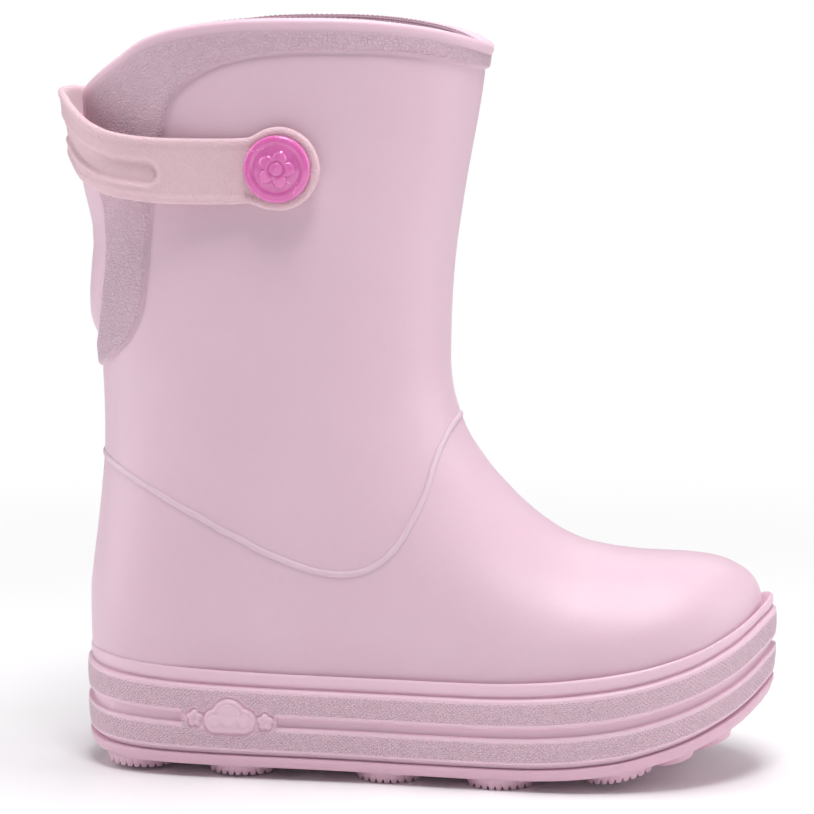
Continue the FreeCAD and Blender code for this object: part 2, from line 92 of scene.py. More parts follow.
def unit(a):
    return a / np.maximum(1e-12, np.linalg.norm(a, axis=-1, keepdims=True))


def gauss_loop(a, sigma):
    """Periodic smoothing of the rows of a, sigma in samples."""
    n = len(a)
    k = np.minimum(np.arange(n), n - np.arange(n))
    g = np.exp(-0.5 * (k / sigma) ** 2)
    g /= g.sum()
    F = np.fft.rfft(a, axis=0)
    G = np.fft.rfft(g)
    return np.fft.irfft(F * (G[:, None] if a.ndim > 1 else G), n=n, axis=0)


def gauss_open(a, sigma):
    k = int(4 * sigma)
    g = np.exp(-0.5 * (np.arange(-k, k + 1) / sigma) ** 2)
    return np.convolve(np.pad(a, k, mode="edge"), g / g.sum(), "valid")


def resample_loop(P, n, w=None):
    """Closed curve P resampled to n points evenly spaced along it."""
    Q = np.vstack([P, P[:1]])
    s = np.concatenate([[0], np.cumsum(np.linalg.norm(np.diff(Q, axis=0), axis=1))])
    t = np.linspace(0, s[-1], n, endpoint=False)
    return np.stack([np.interp(t, s, Q[:, i]) for i in range(P.shape[1])], 1), s[-1]


def grid_faces(R, C, base=0, closed=True, flip=False):
    i = np.arange(R - 1)[:, None]
    j = np.arange(C if closed else C - 1)[None, :]
    j2 = (j + 1) % C
    q = np.stack(np.broadcast_arrays(i * C + j, i * C + j2, (i + 1) * C + j2, (i + 1) * C + j), -1).reshape(-1, 4) + base
    return q[:, ::-1] if flip else q


def fan_faces(ring, centre, flip=False):
    f = [(ring[k], ring[(k + 1) % len(ring)], centre) for k in range(len(ring))]
    return [t[::-1] for t in f] if flip else f


class Build:
    """Collects vertices and faces in millimetres along the boot."""

    def __init__(self):
        self.v, self.q, self.t, self.n, self.attr = [], [], [], 0, {}

    def add(self, P, **attr):
        P = np.asarray(P, float).reshape(-1, 3)
        base = self.n
        self.v.append(P)
        for k, a in attr.items():
            self.attr.setdefault(k, []).append((base, np.broadcast_to(np.asarray(a, float).reshape(-1), (len(P),)) if np.size(a) in (1, len(P)) else a))
        self.n += len(P)
        return base

    def quads(self, q):
        self.q.append(np.asarray(q, int).reshape(-1, 4))

    def tris(self, t):
        if len(t):
            self.t.append(np.asarray(t, int).reshape(-1, 3))

    def make(self, name, material, shift=True):
        V = np.vstack(self.v)
        if shift:
            V = V - np.array([OX, 0, 0])
        V = V / 1000.0
        Q = np.vstack(self.q) if self.q else np.zeros((0, 4), int)
        T = np.vstack(self.t) if self.t else np.zeros((0, 3), int)
        me = bpy.data.meshes.new(name)
        me.vertices.add(len(V))
        me.vertices.foreach_set("co", V.astype(np.float32).ravel())
        loops = np.concatenate([Q.ravel(), T.ravel()]).astype(np.int32)
        me.loops.add(len(loops))
        me.loops.foreach_set("vertex_index", loops)
        starts = np.concatenate([np.arange(len(Q)) * 4, len(Q) * 4 + np.arange(len(T)) * 3]).astype(np.int32)
        me.polygons.add(len(starts))
        me.polygons.foreach_set("loop_start", starts)
        me.polygons.foreach_set("use_smooth", np.ones(len(starts), bool))
        me.update(calc_edges=True)
        me.validate()
        for k, parts in self.attr.items():
            a = np.zeros(len(V), np.float32)
            for base, vals in parts:
                a[base:base + len(vals)] = vals
            at = me.attributes.new(k, "FLOAT", "POINT")
            at.data.foreach_set("value", a)
        ob = bpy.data.objects.new(name, me)
        bpy.context.scene.collection.objects.link(ob)
        me.materials.append(material)
        return ob


def grid_normals(P, closed=True):
    """Normals of a grid of points, rows by columns, columns closed."""
    du = np.empty_like(P)
    du[1:-1] = P[2:] - P[:-2]
    du[0] = P[1] - P[0]
    du[-1] = P[-1] - P[-2]
    dv = np.roll(P, -1, 1) - np.roll(P, 1, 1)
    return unit(np.cross(dv, du))


def polyline_distance(S, Z, line):
    """Distance from points to a polyline, with the nearest segment's side."""
    pts = np.stack([S.ravel(), Z.ravel()], 1)
    best = np.full(len(pts), 1e9)
    side = np.zeros(len(pts))
    for a, b in zip(line[:-1], line[1:]):
        a, b = np.array(a, float), np.array(b, float)
        d = b - a
        t = np.clip(((pts - a) @ d) / (d @ d), 0, 1)
        q = a + t[:, None] * d
        w = pts - q
        r = np.hypot(w[:, 0], w[:, 1])
        cr = d[0] * (pts[:, 1] - a[1]) - d[1] * (pts[:, 0] - a[0])
        m = r < best
        best[m] = r[m]
        side[m] = np.sign(cr[m])
    return (best * np.where(side == 0, 1, side)).reshape(S.shape)


# ------------------------------------------------------------------ form of the boot
BACK = pchip([10, 20, 35, 50, 60, 70, 80, 90, 100, 110, 122, 135, 150, 165, 180, 197, 225],
             [0.4, -0.2, -0.8, -0.9, 0.1, 1.4, 2.5, 3.4, 3.8, 3.5, 2.6, 1.3, 0.7, 0.0, -0.9, -1.9, -3.2])
FRONT = pchip([112, 118, 127, 136, 145, 153, 162, 171, 180, 188, 194, 200, 208, 225],
              [105.6, 105.2, 105.3, 105.6, 106.2, 107.0, 108.3, 109.7, 111.3, 112.8, 113.8, 114.7, 115.9, 118.5])
VAMP = pchip([150, 155, 161, 167, 172, 178, 184, 189, 192.5, 194.8, 196.2],
             [64.2, 63.5, 63.1, 62.9, 62.8, 62.4, 61.4, 59.4, 57.0, 54.0, 50.0])
PX, PZ = 150.0, 112.0
INSTEP = pchip([0, 10, 21.5, 32, 44, 54, 64.5, 77.6, 90],
               [44.4, 43.1, 42.1, 41.2, 41.0, 41.7, 43.1, 45.5, 47.8])
DOME = pchip([0, 20, 45, 70, 90], [51.0, 48.0, 42.0, 35.0, 30.6])
FEATHER = pchip([-3, 0, 8, 17, 29, 43, 65, 86, 103, 117, 133, 147.5, 162, 171, 179, 185, 190, 194, 197, 200.5],
                [35.8, 35.2, 33.9, 33.0, 32.1, 31.5, 30.9, 30.7, 30.7, 30.8, 31.6, 33.2, 35.5, 37.7, 40.2, 42.8, 45.4, 48.0, 50.2, 52.2])
UNDER = pchip([-3, 0, 5, 12, 20, 40, 60, 80, 100, 114, 128, 141, 148, 157, 166, 173, 179, 185, 191, 196, 200.5],
              [7.2, 5.6, 4.7, 4.2, 3.9, 3.6, 3.4, 3.2, 3.0, 3.0, 3.1, 3.7, 4.4, 5.7, 7.9, 9.9, 12.0, 14.6, 17.6, 21.2, 25.2])
SHAFT_W = pchip([60, 95, 115, 135, 155, 175, 195, 225], [32.6, 33.4, 34.0, 34.6, 35.3, 35.8, 36.0, 36.0])
FX = [0, 20, 35, 55, 80, 105, 130, 150, 160, 170, 180, 187, 191.5, 194.5, 196.2]
FOOT_L = pchip(FX, [28.6, 28.7, 29.2, 30.2, 31.6, 34.7, 37.8, 38.6, 37.4, 34.6, 29.4, 23.0, 17.0, 10.6, 4.0])
FOOT_M = pchip(FX, [28.0, 27.8, 27.6, 27.8, 28.8, 32.8, 37.4, 39.4, 38.6, 36.0, 31.0, 24.4, 18.0, 11.4, 4.4])
OUT_L = [(-2.1, 0), (-1.0, -8), (1.7, -15.5), (7, -22.8), (16, -28.2), (30, -31.4), (50, -33.0), (75, -34.4),
         (100, -37.3), (125, -40.6), (145, -41.9), (160, -40.5), (172, -36.9), (182, -31.0), (190, -23.4),
         (196, -14.3), (199.2, -7.0), (200.2, 0)]
OUT_M = [(199.3, 7.5), (196.3, 15.5), (190.5, 25.0), (183, 32.5), (173, 38.5), (160, 42.0), (145, 42.6),
         (125, 40.2), (100, 35.2), (75, 31.5), (50, 30.6), (30, 30.2), (16, 27.4), (7, 22.4), (1.7, 15.3), (-1.0, 8.0)]
TOE = 196.2
DEPTH = 13.0
RIM = pchip([-4, 0.6, 3.5, 7, 10.5, 14, 17, 20.3, 23, 26.3, 32, 38, 44, 50, 60, 72, 83, 94, 100, 105.4, 111, 115, 118.5],
            [194.0, 196.5, 199.3, 202.2, 204.8, 207.2, 209.4, 211.5, 212.7, 213.8, 215.2, 216.2, 216.9, 217.4, 217.7,
             217.7, 217.3, 216.2, 215.3, 214.2, 212.6, 210.9, 208.6])


def half_width(x, z, off, side, s_in, dome, low):
    foot = np.where(side < 0, FOOT_L(x), FOOT_M(x))
    u = np.clip((z - FEATHER(x) + 2) / 14.0, 0, 1)
    w = foot + 1.3 * u * u * (3 - 2 * u)
    w = np.where(x < 150, w + (SHAFT_W(z) - w) * sm(42, 112, z), w)
    w = np.maximum(0.6, w - off)
    rb = 30 + 23 * sm(38, 125, z) - off
    eb = quarter((x - BACK(z) - off) / rb, 2.15)
    et = quarter(s_in / dome, 2.1)
    el = quarter((z - low) / 9.0, 4.0)
    return w * eb * et * el


def split(v):
    v = np.asarray(v, float)
    return np.where(v <= 0.5, v * 2, (1 - v) * 2), np.where(v < 0.5, -1.0, 1.0)


def level_pt(v, z, off):
    """Point of the leg at height z; v runs 0 front, 0.25 outer side, 0.5 back, 0.75 inner side."""
    v1, side = split(v)
    z = np.broadcast_to(np.asarray(z, float), v1.shape)
    s0, s1 = PX - FRONT(z) + off, PX - BACK(z) - off
    s = s0 + (s1 - s0) * (1 - np.cos(np.pi * v1)) / 2
    x = PX - s
    y = side * half_width(x, z, off, side, s - s0, (s1 - s0) / 2, FEATHER(x) - DEPTH + off)
    return np.stack([x, y, z], -1)


def fan_pt(v, a, off):
    v1, side = split(v)
    ca, sa = math.cos(math.radians(a)), math.sin(math.radians(a))
    s0 = float(INSTEP(a)) + off
    lo, hi = s0 + 5.0, 400.0
    for _ in range(50):
        m = (lo + hi) / 2
        x, z = PX - m * ca, PZ - m * sa
        if x > BACK(z) + off and z > FEATHER(x) - DEPTH + off:
            lo = m
        else:
            hi = m
    s = s0 + (lo - s0) * (1 - np.cos(np.pi * v1)) / 2
    x, z = PX - s * ca, PZ - s * sa
    y = side * half_width(x, z, off, side, s - s0, float(DOME(a)) - off, FEATHER(x) - DEPTH + off)
    return np.stack([x, y, z], -1)


def cross_pt(v, a, off):
    v1, side = split(v)
    k = (TOE - off * 1.05 - PX) / (TOE - PX)
    s0 = PZ - float(VAMP(a)) + off
    s1 = PZ - (float(FEATHER(a)) - DEPTH) - off
    if s1 < s0 + 2.0:
        s0 = s1 = (s0 + s1) / 2
        s0, s1 = s0 - 1.0, s1 + 1.0
    dome = max(float(VAMP(a) - FEATHER(a)) + 1.0 - off * 0.6, 4.0)
    s = s0 + (s1 - s0) * (1 - np.cos(np.pi * v1)) / 2
    z = PZ - s
    xx = np.full_like(z, a)
    y = side * half_width(xx, z, off, side, s - s0, dome, FEATHER(xx) - DEPTH + off)
    return np.stack([np.full_like(z, PX + (a - PX) * k), y, z], -1)


def surface_y(x, z, off=0.0, side=-1.0):
    """Half width of the upper at any place of the side view below the leg."""
    x, z = np.asarray(x, float), np.asarray(z, float)
    phi = np.degrees(np.arctan2(PZ - z, PX - x))
    s = np.hypot(PZ - z, PX - x)
    lv = z >= PZ
    s_in = np.where(lv, FRONT(z) - x, s - INSTEP(np.clip(phi, 0, 90))) - off
    dome = np.where(lv, (FRONT(z) - BACK(z)) / 2, DOME(np.clip(phi, 0, 90))) - off
    return half_width(x, z, off, np.full_like(x, side), s_in, dome, FEATHER(x) - DEPTH + off)


# arc length from the back, for every height of the leg
TZ = np.linspace(100, 226, 127)
TV = np.linspace(0, 0.5, 401)
LEG = np.stack([level_pt(TV, np.full_like(TV, z), 0.0) for z in TZ])
seg = np.linalg.norm(np.diff(LEG, axis=1), axis=2)
ARC = np.concatenate([np.cumsum(seg[:, ::-1], axis=1)[:, ::-1], np.zeros((len(TZ), 1))], 1)


def leg_table(T, v, z):
    v1 = np.minimum(v, 1 - v)
    a = np.clip((z - TZ[0]) / (TZ[1] - TZ[0]), 0, len(TZ) - 1.001)
    b = np.clip(v1 / (TV[1] - TV[0]), 0, len(TV) - 1.001)
    i, j = a.astype(int), b.astype(int)
    fa, fb = a - i, b - j
    return ((1 - fa) * ((1 - fb) * T[i, j] + fb * T[i, j + 1]) + fa * ((1 - fb) * T[i + 1, j] + fb * T[i + 1, j + 1]))


def v_of_x(x, z):
    i = int(np.clip(round((z - TZ[0]) / (TZ[1] - TZ[0])), 0, len(TZ) - 1))
    return float(np.interp(-x, -LEG[i, :, 0], TV))


def v_of_y(y, z):
    i = int(np.clip(round((z - TZ[0]) / (TZ[1] - TZ[0])), 0, len(TZ) - 1))
    k = 200
    return float(np.interp(y, -LEG[i, k:, 1][::-1], TV[k:][::-1]))


def rim_curve(drop, notch_r, n, corner):
    """Rim of the leg with the rounded notch at the back, as (v, z) in a closed loop."""
    pts = []
    zc = 189.5
    for v in np.linspace(0, 0.5, 1200):
        z = 214.0
        for _ in range(4):
            x = float(level_pt(np.array([v]), np.array([z]), 0.0)[0, 0])
            z = float(RIM(x)) - drop
        y = -float(level_pt(np.array([v]), np.array([z]), 0.0)[0, 1])
        if v > 0.3 and y < notch_r:
            break
        pts.append((v, z))
    z_end = pts[-1][1]
    for z in np.linspace(z_end, zc, 30)[1:]:
        pts.append((v_of_y(notch_r, z), z))
    for a in np.linspace(0, math.pi / 2, 60)[1:]:
        z = zc - notch_r * math.sin(a)
        pts.append((v_of_y(notch_r * math.cos(a), z) if a < math.pi / 2 - 1e-6 else 0.5, z))
    half = np.array(pts)
    other = half[1:-1][::-1].copy()
    other[:, 0] = 1 - other[:, 0]
    loop = np.vstack([half, other])
    P3 = level_pt(loop[:, 0], loop[:, 1], 0.0)
    Q = np.hstack([P3, loop])
    s = np.concatenate([[0], np.cumsum(np.linalg.norm(np.diff(np.vstack([P3, P3[:1]]), axis=0), axis=1))])
    t = np.linspace(0, s[-1], 4000, endpoint=False)
    vv = np.interp(t, s, np.append(loop[:, 0], 1.0))
    zz = np.interp(t, s, np.append(loop[:, 1], loop[0, 1]))
    per = s[-1] / 4000.0
    off = vv - np.arange(4000) / 4000.0
    vv2 = gauss_loop(off, corner / per) + np.arange(4000) / 4000.0
    zz2 = gauss_loop(zz, corner / per)
    vreg = gauss_loop(off, 20.0 / per) + np.arange(4000) / 4000.0
    k = (np.arange(n) * 4000 // n)
    return vv2[k], zz2[k], vreg[k], s[-1]


# lower edge of the collar band, and the plain web under the notch
BAND_XZ = [(111.9, 202.6), (104.2, 204.8), (94.2, 206.2), (83.1, 207.0), (71.9, 207.1), (63.4, 206.9), (55.0, 206.1),
           (46.5, 204.4), (39.5, 201.6), (33.8, 197.7), (30.6, 194.0), (28.9, 189.3), (28.0, 185.1), (26.6, 178.1),
           (25.0, 169.6), (23.9, 162.6), (22.9, 155.6), (21.6, 148.5), (20.0, 141.4), (17.6, 134.3), (14.6, 127.7),
           (11.3, 122.9), (8.2, 119.7)]
band_line = []
for bx, bz in BAND_XZ:
    vb = v_of_x(bx, bz)
    band_line.append((float(leg_table(ARC, np.array([vb]), np.array([bz]))[0]), bz))
front_s = float(leg_table(ARC, np.array([0.0]), np.array([201.5]))[0])
band_line = [(front_s + 6, 201.2), (front_s, 201.4)] + band_line + [(3.5, 116.4), (0, 115.6), (-4, 115.6)]
bl = np.array(band_line[::-1])
tt = np.concatenate([[0], np.cumsum(np.hypot(*np.diff(bl, axis=0).T))])
fs, fz = pchip(tt, bl[:, 0]), pchip(tt, bl[:, 1])
tq = np.linspace(0, tt[-1], 160)
BAND_LINE = list(zip(fs(tq), fz(tq)))
web_half = pchip([119, 121, 122.5, 125, 130, 139, 147, 156, 163, 168, 177, 185, 196, 215],
                 [0.0, 0.0, 4.0, 9.2, 14.1, 18.0, 20.6, 21.8, 21.6, 19.6, 16.4, 14.2, 13.2, 13.0])
WEB_LINE = [(float(web_half(z)), z) for z in np.linspace(121, 225, 140)]
web_out = pchip([115, 121, 125, 129, 137, 147, 153, 157, 160, 164, 168, 173, 178, 190, 215],
                [0.0, 0.5, 1.35, 1.7, 1.5, 0.45, -0.25, -0.25, 0.1, 0.8, 1.5, 2.0, 2.1, 1.6, 1.2])
band_in = pchip([110, 121, 127, 133, 143, 155, 170, 230], [0.0, 0.0, -1.0, -1.2, 0.0, 1.1, 1.5, 1.5])


def collar_relief(v, z, rim_d):
    """Outward relief of the leg and the grain mask."""
    s = leg_table(ARC, v, z)
    d_band = polyline_distance(s, z, BAND_LINE) - band_in(z)
    d_web = -polyline_distance(s, z, WEB_LINE)
    B = sm(-0.50, 0.60, d_band)
    W = sm(-0.45, 0.65, d_web)
    D = 1.10 * B * W
    D = D - 0.34 * np.exp(np.minimum(0, d_band + 0.3) / 0.9) * (1 - B) * (d_band < 0)
    inside = np.clip(-d_web, 0, 30)
    D = D + (1 - W) * (-0.95 * np.exp(-inside / 0.8) + web_out(z) * sm(0.0, 8.5, inside))
    bead = sm(3.3, 2.2, rim_d)
    D = D + 0.34 * bead - 0.10 * np.exp(-((rim_d - 3.0) / 0.45) ** 2)
    G = B * W * sm(3.0, 3.8, rim_d)
    return D, G


def sock(build, off_out, off_in, drop, notch_r, n, rows_leg, rows_fan, rows_toe, relief, roll_h, in_rows, edge_wave=0.0):
    """Closed wall of a boot-shaped sock between two offsets of the boot's surface."""
    v0, z0, vreg, per = rim_curve(drop, notch_r, n, 0.9)
    outer = []
    w = np.linspace(0, 1, rows_leg)
    w = w ** 1.08
    grid_v = (1 - w)[:, None] * v0[None] + w[:, None] * vreg[None]
    grid_z = (1 - w)[:, None] * z0[None] + w[:, None] * 112.0
    P = level_pt(grid_v, grid_z, off_out)
    G = np.zeros(P.shape[:2])
    D = np.zeros(P.shape[:2])
    if relief:
        rim3 = P[0]
        down = np.concatenate([np.zeros((1, n)), np.cumsum(np.linalg.norm(np.diff(P, axis=0), axis=2), axis=0)])
        # distance to the rim, good near it
        K = min(len(P), 16)
        rd = down.copy()
        for i in range(K):
            dd = P[i][:, None, :] - rim3[None, :, :]
            rd[i] = np.sqrt((dd ** 2).sum(-1)).min(1)
        rd = rd + 1.2
        D, G = collar_relief(grid_v, grid_z, rd)
    fans = [fan_pt(vreg, a, off_out) for a in np.linspace(0, 90, rows_fan)[1:]]
    toe_x = PX + (195.7 - PX) * (1 - (1 - np.linspace(0, 1, rows_toe)[1:]) ** 1.25)
    toes = [cross_pt(vreg, a, off_out) for a in toe_x]
    O = np.concatenate([P, np.stack(fans), np.stack(toes)])
    for at, reach, times in ((rows_leg - 1, 9, 30), (rows_leg + rows_fan - 2, 9, 60)):
        for _ in range(times):
            g0 = O[at - reach:at + reach + 1]
            wk = 0.5 * (1 - (np.arange(-reach, reach + 1) / reach) ** 2)[1:-1, None, None]
            mid_ = 0.5 * (g0[:-2] + g0[2:])
            g1 = g0.copy()
            g1[1:-1] = g0[1:-1] * (1 - wk) + mid_ * wk
            O[at - reach:at + reach + 1] = g1
    N = grid_normals(O)
    c = O.mean((0, 1))
    if ((O[10] - O[10].mean(0)) * N[10]).sum() < 0:
        N = -N
    Dall = np.concatenate([D, np.zeros((len(O) - len(D), n))])
    Gall = np.concatenate([G, np.zeros((len(O) - len(G), n))])
    O2 = O + N * Dall[..., None]
    # inner wall
    wi = np.linspace(0, 1, in_rows[0])
    iv = (1 - wi)[:, None] * v0[None] + wi[:, None] * vreg[None]
    iz = (1 - wi)[:, None] * z0[None] + wi[:, None] * 112.0
    I = [level_pt(iv, iz, off_in)]
    I.append(np.stack([fan_pt(vreg, a, off_in) for a in np.linspace(0, 90, in_rows[1])[1:]]))
    I.append(np.stack([cross_pt(vreg, a, off_in) for a in PX + (195.2 - PX) * (1 - (1 - np.linspace(0, 1, in_rows[2])[1:]) ** 1.25)]))
    I = np.concatenate(I)
    # rolled rim between the two walls
    up = unit(O[0] - O[3])
    up = gauss_loop(up, 3.0)
    up = unit(up)
    mid = (O2[0] + I[0]) / 2
    half = (O2[0] - I[0]) / 2
    roll = []
    for k in range(1, 9):
        ang = math.pi * k / 9
        wave = 1 + edge_wave * np.sin(np.arange(n) * 2 * np.pi * round(per / 1.5) / n) * math.sin(ang)
        roll.append(mid + half * (abs(math.cos(ang)) ** 0.8 * (1 if math.cos(ang) > 0 else -1))
                    + up * (roll_h * math.sin(ang) ** 0.8 * wave)[:, None])
    S = np.concatenate([O2[::-1], np.stack(roll), I])
    A = np.concatenate([Gall[::-1], np.zeros((8, n)), np.zeros((len(I), n))])
    inside = np.concatenate([np.zeros((len(O2), n)), np.zeros((8, n)), np.ones((len(I), n))])
    su = np.broadcast_to(np.arange(n) * per / n, (len(S), n))
    sv = np.concatenate([[0], np.cumsum(np.linalg.norm(np.diff(S[:, n // 4], axis=0), axis=1))])
    sv = np.broadcast_to(sv[:, None], S.shape[:2])
    base = build.add(S, grain=A.ravel(), inside=inside.ravel(), su=su.ravel(), sv=sv.ravel())
    build.quads(grid_faces(len(S), n, base, flip=True))
    tip_o = build.add([[TOE - 1.05 * off_out, 0, float(FEATHER(TOE)) - 3.0]], grain=0, inside=0, su=0, sv=0)
    tip_i = build.add([[TOE - 1.05 * off_in - 0.2, 0, float(FEATHER(TOE)) - 3.0]], grain=0, inside=1, su=0, sv=0)
    build.tris(fan_faces([base + k for k in range(n)], tip_o))
    last = base + (len(S) - 1) * n
    build.tris(fan_faces([last + k for k in range(n)], tip_i, flip=True))
    return O2, n


def tube(build, C, Nn, rn, rb, seg=10, closed=True, **attr):
    """Elliptic tube along the closed curve C, its axes along Nn and across."""
    T = unit(np.roll(C, -1, 0) - np.roll(C, 1, 0))
    B = unit(np.cross(T, Nn))
    Nn = unit(np.cross(B, T))
    ang = np.arange(seg) * 2 * np.pi / seg
    P = C[:, None] + Nn[:, None] * (rn * np.cos(ang))[None, :, None] + B[:, None] * (rb * np.sin(ang))[None, :, None]
    base = build.add(P, **{k: np.full(P.shape[0] * P.shape[1], a) for k, a in attr.items()})
    q = grid_faces(len(C), seg, base)
    build.quads(q)
    r0 = base + np.arange(seg)
    r1 = base + (len(C) - 1) * seg + np.arange(seg)
    build.quads(np.stack([r1, np.roll(r1, -1), np.roll(r0, -1), r0], 1))


# ------------------------------------------------------------------ materials


class Nodes:
    def __init__(self, name):
        self.m = bpy.data.materials.new(name)
        self.m.use_nodes = True
        self.t = self.m.node_tree
        self.t.nodes.clear()
        self.out = self.n("ShaderNodeOutputMaterial")
        self.p = self.n("ShaderNodeBsdfPrincipled")
        self.link(self.p.outputs[0], self.out.inputs["Surface"])
        self.co = self.n("ShaderNodeTexCoord").outputs["Object"]

    def n(self, kind, **kw):
        x = self.t.nodes.new(kind)
        for k, v in kw.items():
            setattr(x, k, v)
        return x

    def link(self, a, b):
        self.t.links.new(a, b)

    def set(self, node, **kw):
        for k, v in kw.items():
            node.inputs[k.replace("_", " ")].default_value = v
        return node

    def noise(self, scale, detail=3.0, rough=0.5, co=None, distort=0.0):
        x = self.n("ShaderNodeTexNoise")
        self.link(co or self.co, x.inputs["Vector"])
        x.inputs["Scale"].default_value = scale
        x.inputs["Detail"].default_value = detail
        x.inputs["Roughness"].default_value = rough
        x.inputs["Distortion"].default_value = distort
        return x.outputs[0]

    def voronoi(self, scale, feature="F1", co=None, rand=1.0):
        x = self.n("ShaderNodeTexVoronoi", feature=feature)
        self.link(co or self.co, x.inputs["Vector"])
        x.inputs["Scale"].default_value = scale
        x.inputs["Randomness"].default_value = rand
        return x.outputs["Distance"]

    def math(self, op, a, b=None, c=None):
        x = self.n("ShaderNodeMath", operation=op)
        for i, v in enumerate((a, b, c)):
            if v is None:
                continue
            if hasattr(v, "default_value") and not isinstance(v, (int, float)):
                self.link(v, x.inputs[i])
            else:
                x.inputs[i].default_value = v
        return x.outputs[0]

    def attr(self, name):
        x = self.n("ShaderNodeAttribute", attribute_name=name)
        return x.outputs["Fac"]

    def ramp(self, fac, stops):
        x = self.n("ShaderNodeValToRGB")
        self.link(fac, x.inputs[0])
        e = x.color_ramp.elements
        while len(e) < len(stops):
            e.new(0.5)
        for el, (p, c) in zip(e, stops):
            el.position = p
            el.color = (*c, 1) if len(c) == 3 else c
        return x.outputs[0]

    def mix(self, fac, a, b, kind="MIX"):
        x = self.n("ShaderNodeMix", data_type="RGBA", blend_type=kind)
        for s, v in ((x.inputs[0], fac), (x.inputs[6], a), (x.inputs[7], b)):
            if isinstance(v, (int, float)):
                s.default_value = v
            elif isinstance(v, tuple):
                s.default_value = (*v, 1) if len(v) == 3 else v
            else:
                self.link(v, s)
        return x.outputs[2]

    def bump(self, height, strength, dist, normal=None):
        x = self.n("ShaderNodeBump")
        self.link(height, x.inputs["Height"])
        x.inputs["Strength"].default_value = strength
        x.inputs["Distance"].default_value = dist
        if normal is not None:
            self.link(normal, x.inputs["Normal"])
        return x.outputs[0]


def foam(name, low, high, rough=0.5, grain_attr=None, micro=1.0, sss=0.18, knurl_mm=0.0, grain_hollow_shade=None):
    """Moulded closed-cell foam: soft sheen, fine cell texture, faint mottling, painted highlight on convex edges and
    painted shade in creases, grain hollows and knurl hollows.
    """
    g = Nodes(name)
    big = g.noise(22.0, 4.0, 0.55)
    fine = g.noise(900.0, 3.0, 0.6)
    cell = g.voronoi(1500.0)
    col = g.ramp(g.math("ADD", g.math("MULTIPLY", big, 0.75), g.math("MULTIPLY", fine, 0.25)),
                 [(0.30, low), (0.70, high)])
    geo = g.n("ShaderNodeNewGeometry")
    # painted highlight: where the surface is convex (high pointiness) the colour is mixed towards a lighter, whiter
    # pink
    edge = g.ramp(geo.outputs["Pointiness"], [(0.44, (0, 0, 0)), (0.5, (0.5, 0.5, 0.5)), (0.57, (1, 1, 1))])
    col = g.mix(g.math("MULTIPLY", g.math("SUBTRACT", edge, 0.5), 0.55), col, tuple(min(1, c * 1.25 + 0.04) for c in high))
    # painted shade: where the surface is concave (low pointiness) the colour is mixed towards a darker pink
    crease_shade = g.math("MULTIPLY", g.math("SUBTRACT", 0.5, edge), 0.5)
    col = g.mix(g.math("MAXIMUM", crease_shade, 0.0), col, tuple(c * 0.62 for c in low))
    h = g.math("ADD", g.math("MULTIPLY", fine, 0.6), g.math("MULTIPLY", cell, 0.5))
    nrm = g.bump(h, 0.30 * micro, 0.00012)
    if grain_attr:
        m = g.attr(grain_attr)
        warp = g.n("ShaderNodeMix", data_type="VECTOR")
        nz = g.n("ShaderNodeTexNoise")
        g.link(g.co, nz.inputs["Vector"])
        nz.inputs["Scale"].default_value = 500.0
        warp.inputs[0].default_value = 0.0011
        g.link(g.co, warp.inputs[4])
        g.link(nz.outputs["Color"], warp.inputs[5])
        wr = g.voronoi(900.0, "DISTANCE_TO_EDGE", warp.outputs[1])
        wr2 = g.noise(1250.0, 3.0, 0.65, distort=1.2)
        hh = g.math("ADD", g.math("MULTIPLY", g.math("MINIMUM", wr, 0.28), 2.4), g.math("MULTIPLY", wr2, 0.9))
        nrm = g.bump(g.math("MULTIPLY", hh, m), 1.0, 0.00048, nrm)
        # painted shade: the hollows of the grain (low hh) are mixed towards a darker pink
        if grain_hollow_shade:
            col = g.mix(g.math("MULTIPLY", m, g.math("MAXIMUM", g.math("MULTIPLY", g.math("SUBTRACT", 1.10, hh), 0.55), 0.0)), col, grain_hollow_shade)
    if knurl_mm:
        ka, kb, km = g.attr("ka"), g.attr("kb"), g.attr("km")
        wave = g.math("MULTIPLY", g.math("COSINE", g.math("MULTIPLY", ka, 2 * math.pi / knurl_mm)),
                      g.math("COSINE", g.math("MULTIPLY", kb, 2 * math.pi / knurl_mm)))
        nrm = g.bump(g.math("MULTIPLY", wave, km), 1.0, 0.00026, nrm)
        # painted shade: the low parts of the knurl are mixed towards a darker pink
        knurl_hollow_shade = g.math("MULTIPLY", g.math("SUBTRACT", 0.55, g.math("MULTIPLY", wave, 0.5)), km)
        col = g.mix(g.math("MULTIPLY", g.math("MAXIMUM", knurl_hollow_shade, 0.0), 0.20), col, tuple(c * 0.66 for c in low))
    g.link(col, g.p.inputs["Base Color"])
    g.link(nrm, g.p.inputs["Normal"])
    g.link(g.math("ADD", g.math("MULTIPLY", g.noise(60.0, 3.0), 0.16), rough - 0.08), g.p.inputs["Roughness"])
    g.set(g.p, Subsurface_Weight=sss, Subsurface_Scale=0.004, Specular_IOR_Level=0.5, Sheen_Weight=0.22, Sheen_Roughness=0.4)
    g.p.inputs["Subsurface Radius"].default_value = (1.0, 0.55, 0.6)
    g.p.inputs["Sheen Tint"].default_value = (1, 0.9, 0.94, 1)
    return g.m


